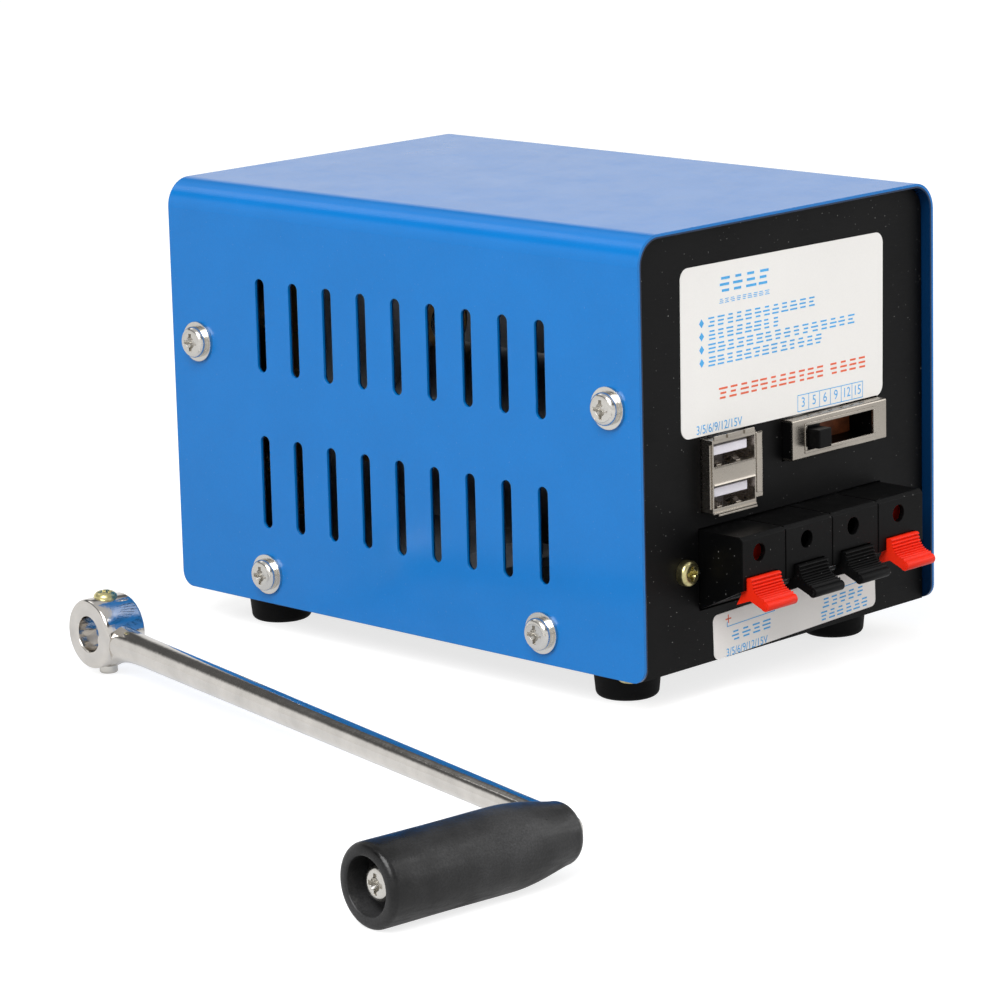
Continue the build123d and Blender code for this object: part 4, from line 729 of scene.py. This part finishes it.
# Thin sheet from a grid: the same grid again, moved back by the sheet's thickness, closed round its edge
def sheetFromGrid(grid, thickness):
    rows, columns = grid.shape[:2]
    back = grid + np.array(thickness)
    front = gridFaces(rows, columns, False, False)
    total = rows * columns
    faces = front.tolist() + (front + total)[:, ::-1].tolist()
    index = np.arange(total).reshape(rows, columns)
    rim = np.concatenate([index[0, :], index[1:, -1], index[-1, -2::-1], index[-2:0:-1, 0]])
    after = np.roll(rim, -1)
    faces += np.stack([rim, after, after + total, rim + total], axis=1).tolist()
    return np.concatenate([grid.reshape(-1, 3), back.reshape(-1, 3)]), faces


# Rolled strip beside the socket: its depth follows half a sine across its width
def makeUsbFold(settings):
    share = np.linspace(0, 1, 13)[:, None]
    height = np.linspace(settings["foldBottom"], settings["foldTop"], 3)[None, :]
    x = settings["foldLeft"] + settings["foldWidth"] * share + 0 * height
    y = settings["frontY"] + settings["foldDepth"] * (1 - np.sin(np.pi * share) ** 0.7) + 0 * height
    return sheetFromGrid(np.stack([x, y, height + 0 * share], axis=2), settings["sheet"])


# Divider between the ports: bowed back in the middle, its upper and lower edges rolled forward
def makeUsbDivider(settings):
    low = settings["portFloors"][0] + settings["portHeight"]
    high = settings["portFloors"][1]
    insetLeft, insetRight = settings["dividerInsets"]
    share = np.linspace(0, 1, 15)[None, :]
    x = np.linspace(settings["left"] + insetLeft, settings["right"] - insetRight, 3)[:, None]
    y = settings["frontY"] - settings["dividerProud"] + settings["dividerBow"] * np.sin(np.pi * share) ** 0.5
    z = low + (high - low) * share
    return sheetFromGrid(np.stack([x + 0 * share, y + 0 * x, z + 0 * x], axis=2), settings["sheet"])


# Springs on each port's floor: a strip whose height follows one minus a cosine along its length
def makeUsbSprings(settings):
    shapes = []
    for floor in settings["portFloors"]:
        for x in settings["springX"]:
            along = np.linspace(0, 1, 15)[:, None]
            across = np.linspace(-1, 1, 3)[None, :]
            y = settings["frontY"] + settings["springBack"] + settings["springLength"] * along + 0 * across
            rise = settings["springHeight"] * (1 - np.cos(2 * np.pi * along)) / 2
            z = floor + settings["springClear"] + rise + 0 * across
            grid = np.stack([x + settings["springHalf"] * across + 0 * along, y, z], axis=2)
            shapes.append(sheetFromGrid(grid, settings["springSheet"]))
    return shapes


# Lip round the socket's mouth: thin strips on its left and lower sides, a hem under them, teeth above
def makeUsbLips(settings):
    left, right, low, high = (settings[key] for key in ("left", "right", "bottom", "top"))
    front, middle = settings["frontY"], (left + right) / 2
    strip = front - settings["lipProud"]
    middles = [(left + 0.1, strip, (low + high) / 2), (middle, strip, low - 0.1),
               (middle + 0.6, front - settings["hemProud"], low - 0.6)]
    halves = [(*settings["sideLip"], (high - low) / 2), settings["lowerLip"], settings["hem"]]
    for x, half in settings["toothPlaces"]:
        middles.append((x, front - settings["toothProud"], high + 0.35))
        halves.append((half, *settings["tooth"]))
    return blocks(middles, halves)


# Tongues: a five-sided outline with one cut corner, drawn from each port's top down to its underside
def makeUsbTongues(settings):
    left, right, front, back, cut = settings["tongue"]
    outline = np.array([(left, front), (right - cut, front), (right, front + cut), (right, back), (left, back)])
    shapes = []
    for floor in settings["portFloors"]:
        top = floor + settings["portHeight"] - settings["tongueDrop"]
        heights = (top, top - settings["tongueThickness"])
        shapes.append(shell(np.stack([np.column_stack([outline, np.full(len(outline), z)]) for z in heights])))
    middles = [((settings["left"] + settings["right"]) / 2, back - settings["baseHalf"],
                floor + settings["portHeight"] / 2) for floor in settings["portFloors"]]
    clearX, clearZ = settings["baseClear"]
    halves = [((settings["right"] - settings["left"]) / 2 - clearX, settings["baseHalf"],
               settings["portHeight"] / 2 - clearZ)] * 2
    return [*shapes, blocks(middles, halves)]


newPiece("usbTongues", makeUsbTongues(usbSettings), "whitePlastic",
         replaces=("usb_insulators",), bevelMm=0.12)
newPiece("usbSheetDetails", [
    makeUsbFold(usbSettings), makeUsbDivider(usbSettings), *makeUsbSprings(usbSettings),
    makeUsbLips(usbSettings),
], "nickelSheet", bevelMm=0.06)

switchSettings = {
    "left": 4.2,
    "right": 27.5,
    "bottom": 50.95,
    "top": 56.45,
    "frontY": -75.0,
    "rimWidth": 0.7,
    "rimProud": 0.18,
    # x and z of each track's middle, half its length and half its height
    "tracks": ((12.5, 53.2, 1.5, 0.16), (13.5, 54.4, 2.2, 0.14), (12.9, 52.1, 1.8, 0.12),
               (17.6, 53.4, 1.2, 0.16)),
    "trackY": -66.03,
    "trackHalf": 0.03,
}


# Pressed rim round the switch's window: four bars standing a little proud
def makeSwitchRim(settings):
    left, right, low, high = (settings[key] for key in ("left", "right", "bottom", "top"))
    half, proud = settings["rimWidth"] / 2, settings["rimProud"] / 2
    y = settings["frontY"] - proud
    middleX, middleZ = (left + right) / 2, (low + high) / 2
    flatBar, uprightBar = ((right - left) / 2 + 2 * half, proud, half), (half, proud, (high - low) / 2)
    return blocks(
        [(middleX, y, low - half), (middleX, y, high + half), (left - half, y, middleZ),
         (right + half, y, middleZ)],
        [flatBar, flatBar, uprightBar, uprightBar],
    )


newPiece("switchRim", [makeSwitchRim(switchSettings)], "nickelSheet", bevelMm=0.12)
newPiece("switchTracks", [blocks(
    [(x, switchSettings["trackY"], z) for x, z, _, _ in switchSettings["tracks"]],
    [(half, switchSettings["trackHalf"], high) for _, _, half, high in switchSettings["tracks"]],
)], "copper")
print("socket and switch details made")

# Printing on the labels: rows of plain dashes, a numbered scale, brackets and a plus sign

upperPrint = {
    "middle": (0.2, 77.5),
    "size": (68.7, 37.5),
    "turnDegrees": -0.6,
    "seed": 7,
    # start from the left edge, distance from the top edge, number of marks, pitch, height
    "blueRows": ((12.4, 5.0, 4, 4.3, 3.4), (12.4, 8.6, 9, 1.9, 1.0), (8.6, 12.7, 12, 3.05, 2.15),
                 (8.6, 15.6, 8, 3.05, 2.15), (8.6, 18.5, 16, 3.15, 2.15), (8.6, 21.4, 13, 3.0, 2.15)),
    "orangeRows": ((11.8, 28.9, 3, 3.6, 2.6), (22.6, 28.9, 8, 3.2, 2.6), (49.8, 28.9, 4, 3.3, 2.6)),
    "bullets": ((6.8, 12.7), (6.8, 15.6), (6.8, 18.5), (6.8, 21.4)),
    "bulletHalf": 1.0,
    "scaleLeft": 38.9,
    "scaleTop": 33.3,
    "cellWidth": 3.78,
    "cellHeight": 3.65,
    "line": 0.17,
    "numbers": ("3", "5", "6", "9", "12", "15"),
    "numberSize": 3.1,
    "rangeText": ("3/5/6/9/12/15V", 4.8, 36.1, 2.75),
}
lowerPrint = {
    "middle": (3.3, 13.9),
    "size": (56.0, 10.2),
    "turnDegrees": 1.7,
    "seed": 11,
    "blueRows": ((5.6, 5.9, 4, 3.5, 2.2), (37.0, 5.6, 5, 3.0, 2.2), (36.2, 8.5, 6, 2.9, 2.1)),
    "brackets": ((4.6, 20.6, 3.4), (36.0, 52.0, 3.3)),
    "bracketDrop": 0.5,
    "bracketHalf": 0.6,
    "plus": (5.0, 1.7, 0.95, 0.15),
    "line": 0.19,
    "rangeText": ("3/5/6/9/12/15V", 3.9, 9.4, 2.55),
}
printMm = {"proud": 0.012, "half": 0.012}
# shares of a mark's pitch or height, and how much characters are narrowed
markSettings = {"levels": (-0.4, 0.0, 0.4), "fill": (0.45, 0.8), "shift": 0.06, "half": 0.085, "squeeze": 0.92}


# Label places to the case's frame: right and down from the label's upper left corner, turned about
# its middle
def onLabel(label, right, down):
    turn = math.radians(label["turnDegrees"])
    u = np.asarray(right) - label["size"][0] / 2
    v = label["size"][1] / 2 - np.asarray(down)
    x = label["middle"][0] + u * math.cos(turn) - v * math.sin(turn)
    z = label["middle"][1] + u * math.sin(turn) + v * math.cos(turn)
    y = np.full_like(x, caseMm["frontY"] - caseMm["labelProud"] - printMm["proud"])
    return np.stack([x, y, z], axis=-1)


# Flat bars on a label, as thin blocks turned with it
def labelBars(label, middles, halves):
    middles, halves = np.asarray(middles, float), np.asarray(halves, float)
    right = middles[:, None, 0] + cornerSigns[None, :, 0] * halves[:, None, 0]
    down = middles[:, None, 1] + cornerSigns[None, :, 2] * halves[:, None, 1]
    points = onLabel(label, right, down)
    points[..., 1] += cornerSigns[None, :, 1] * printMm["half"]
    _, faces = blocks(np.zeros((len(middles), 3)), np.ones((len(middles), 3)))
    return points.reshape(-1, 3), faces


# A row of marks: each is three short dashes above one another, their lengths drawn at random
def dashRows(label, rows, generator):
    middles, halves = [], []
    for start, down, count, pitch, height in rows:
        for i in range(count):
            for level in markSettings["levels"]:
                width = pitch * generator.uniform(*markSettings["fill"])
                shift = generator.uniform(-markSettings["shift"], markSettings["shift"]) * pitch
                middles.append((start + (i + 0.5) * pitch + shift, down + level * height))
                halves.append((width / 2, height * markSettings["half"]))
    return labelBars(label, middles, halves)


def bracketBars(label):
    middles, halves = [], []
    line, half = label["line"] / 2, label["bracketHalf"]
    for left, right, down in label["brackets"]:
        above = down - label["bracketDrop"]
        middles += [((left + right) / 2, down), (left, above), (right, above)]
        halves += [((right - left) / 2, line), (line, half), (line, half)]
    return labelBars(label, middles, halves)


def scaleBars(label):
    left, top, line = (label[key] for key in ("scaleLeft", "scaleTop", "line"))
    cell, tall = label["cellWidth"], label["cellHeight"]
    count = len(label["numbers"])
    middles = [(left + count * cell / 2, top), (left + count * cell / 2, top + tall)]
    halves = [(count * cell / 2 + line / 2, line / 2)] * 2
    middles += [(left + i * cell, top + tall / 2) for i in range(count + 1)]
    halves += [(line / 2, tall / 2)] * (count + 1)
    return labelBars(label, middles, halves)


# A diamond for each bullet: four corners on the front and four on the back
def bulletShapes(label):
    sideways = label["bulletHalf"] * np.array((0, 0.8, 0, -0.8))
    upright = label["bulletHalf"] * np.array((-1, 0, 1, 0))
    shapes = []
    for right, down in label["bullets"]:
        corner = onLabel(label, right + sideways, down + upright)
        back = corner + np.array((0.0, 2 * printMm["half"], 0.0))
        shapes.append(shell(np.array([corner, back])))
    return shapes


# Printed characters: the font's outline made a thin mesh, then laid on the label
def textShape(label, text, right, down, size, centred):
    curve = bpy.data.curves.new("characters", "FONT")
    curve.body, curve.size, curve.extrude = text, size, printMm["half"]
    curve.align_x, curve.align_y = ("CENTER" if centred else "LEFT"), "CENTER"
    holder = bpy.data.objects.new("characters", curve)
    bpy.context.scene.collection.objects.link(holder)
    mesh = bpy.data.meshes.new_from_object(holder)
    points = np.zeros(len(mesh.vertices) * 3)
    mesh.vertices.foreach_get("co", points)
    points = points.reshape(-1, 3)
    faces = [list(face.vertices) for face in mesh.polygons]
    placed = onLabel(label, right + points[:, 0] * markSettings["squeeze"], down - points[:, 1])
    placed[:, 1] -= points[:, 2]
    bpy.data.objects.remove(holder)
    bpy.data.curves.remove(curve)
    bpy.data.meshes.remove(mesh)
    return placed, faces


def numberShapes(label):
    left, cell, size = label["scaleLeft"], label["cellWidth"], label["numberSize"]
    middle = label["scaleTop"] + label["cellHeight"] / 2
    return [textShape(label, text, left + (i + 0.5) * cell, middle, size, True)
            for i, text in enumerate(label["numbers"])]


def printLabels():
    upperMarks = np.random.default_rng(upperPrint["seed"])
    lowerMarks = np.random.default_rng(lowerPrint["seed"])
    text, right, down, size = upperPrint["rangeText"]
    newPiece("upperLabelBluePrint", [
        dashRows(upperPrint, upperPrint["blueRows"], upperMarks), *bulletShapes(upperPrint),
        scaleBars(upperPrint), *numberShapes(upperPrint),
        textShape(upperPrint, text, right, down, size, False),
    ], "bluePrint")
    newPiece("upperLabelOrangePrint", [dashRows(upperPrint, upperPrint["orangeRows"], upperMarks)],
             "orangePrint")
    text, right, down, size = lowerPrint["rangeText"]
    newPiece("lowerLabelBluePrint", [
        dashRows(lowerPrint, lowerPrint["blueRows"], lowerMarks), bracketBars(lowerPrint),
        textShape(lowerPrint, text, right, down, size, False),
    ], "bluePrint")
    right, down, reach, half = lowerPrint["plus"]
    plus = labelBars(lowerPrint, [(right, down), (right, down)], [(reach, half), (half, reach)])
    newPiece("lowerLabelPlus", [plus], "orangePrint")


printLabels()
print("labels printed")

# Stage

stageSettings = {
    "floorHalf": 3.0,
    "floorColor": (0.45, 0.45, 0.45),
    "floorRoughness": 0.9,
    "floorGlowSeen": 0.76,
    "floorGlowMirrored": 0.38,
    "bandLight": 0.88,
    "darkLight": 0.1,
    "ceilingLight": 0.5,
    "bandTop": (0.34, 0.46),
    "ceilingStart": (0.56, 0.68),
    "keyMm": (-1050.0, -450.0, 1050.0),
    "keyPower": 20.0,
    "keySize": 0.9,
    "fillMm": (900.0, -900.0, 700.0),
    "fillPower": 6.0,
    "fillSize": 1.0,
    "rimMm": (-260.0, 820.0, 880.0),
    "rimPower": 0.4,
    "rimSize": 0.35,
    "towardsMm": (0.0, 0.0, 40.0),
}


def areaLight(name, placeMm, towardsMm, power, size):
    data = bpy.data.lights.new(name, "AREA")
    data.energy, data.size = power, size
    light = bpy.data.objects.new(name, data)
    bpy.context.scene.collection.objects.link(light)
    light.location = atCase(*placeMm)
    direction = atCase(*towardsMm) - light.location
    light.rotation_mode = "QUATERNION"
    light.rotation_quaternion = direction.to_track_quat("-Z", "Y")


# Floor: pale matte, with a plain glow added where the camera or a shiny surface sees it
def makeFloor(settings):
    half = settings["floorHalf"]
    mesh = bpy.data.meshes.new("floor")
    corners = [(x * half, y * half, 0.0) for x, y in ((-1, -1), (1, -1), (1, 1), (-1, 1))]
    mesh.from_pydata(corners, [], [(0, 1, 2, 3)])
    floor = bpy.data.objects.new("floor", mesh)
    bpy.context.scene.collection.objects.link(floor)
    material = bpy.data.materials.new("floor")
    material.use_nodes = True
    tree = material.node_tree
    shader = tree.nodes["Principled BSDF"]
    shader.inputs["Base Color"].default_value = (*settings["floorColor"], 1)
    shader.inputs["Roughness"].default_value = settings["floorRoughness"]
    shader.inputs["Specular IOR Level"].default_value = 0.0
    shader.inputs["Emission Color"].default_value = (1, 1, 1, 1)
    path = tree.nodes.new("ShaderNodeLightPath")
    seen = mathNode(tree, "MULTIPLY", path.outputs["Is Camera Ray"], settings["floorGlowSeen"])
    mirrored = mathNode(tree, "MULTIPLY", path.outputs["Is Glossy Ray"], settings["floorGlowMirrored"])
    tree.links.new(mathNode(tree, "ADD", seen, mirrored), shader.inputs["Emission Strength"])
    mesh.materials.append(material)


# Surroundings: bright near the horizon and overhead with a dark belt between, plain white to the camera
def makeWorld(settings):
    world = bpy.data.worlds.new("world")
    world.use_nodes = True
    bpy.context.scene.world = world
    tree = world.node_tree
    place = tree.nodes.new("ShaderNodeTexCoord")
    split = tree.nodes.new("ShaderNodeSeparateXYZ")
    tree.links.new(place.outputs["Generated"], split.inputs["Vector"])
    height = split.outputs["Z"]
    belt = mapRange(tree, height, settings["bandLight"], settings["darkLight"], *settings["bandTop"])
    overhead = mapRange(tree, height, 0.0, settings["ceilingLight"], *settings["ceilingStart"])
    light = mathNode(tree, "ADD", belt, overhead)
    path = tree.nodes.new("ShaderNodeLightPath")
    strength = tree.nodes.new("ShaderNodeMapRange")
    strength.inputs["To Max"].default_value = 1.0
    tree.links.new(light, strength.inputs["To Min"])
    tree.links.new(path.outputs["Is Camera Ray"], strength.inputs["Value"])
    tree.links.new(strength.outputs["Result"], tree.nodes["Background"].inputs["Strength"])
    tree.nodes["Background"].inputs["Color"].default_value = (1, 1, 1, 1)


makeFloor(stageSettings)
makeWorld(stageSettings)
for title in ("key", "fill", "rim"):
    areaLight(title + "Light", stageSettings[title + "Mm"], stageSettings["towardsMm"],
              stageSettings[title + "Power"], stageSettings[title + "Size"])
print("stage made")
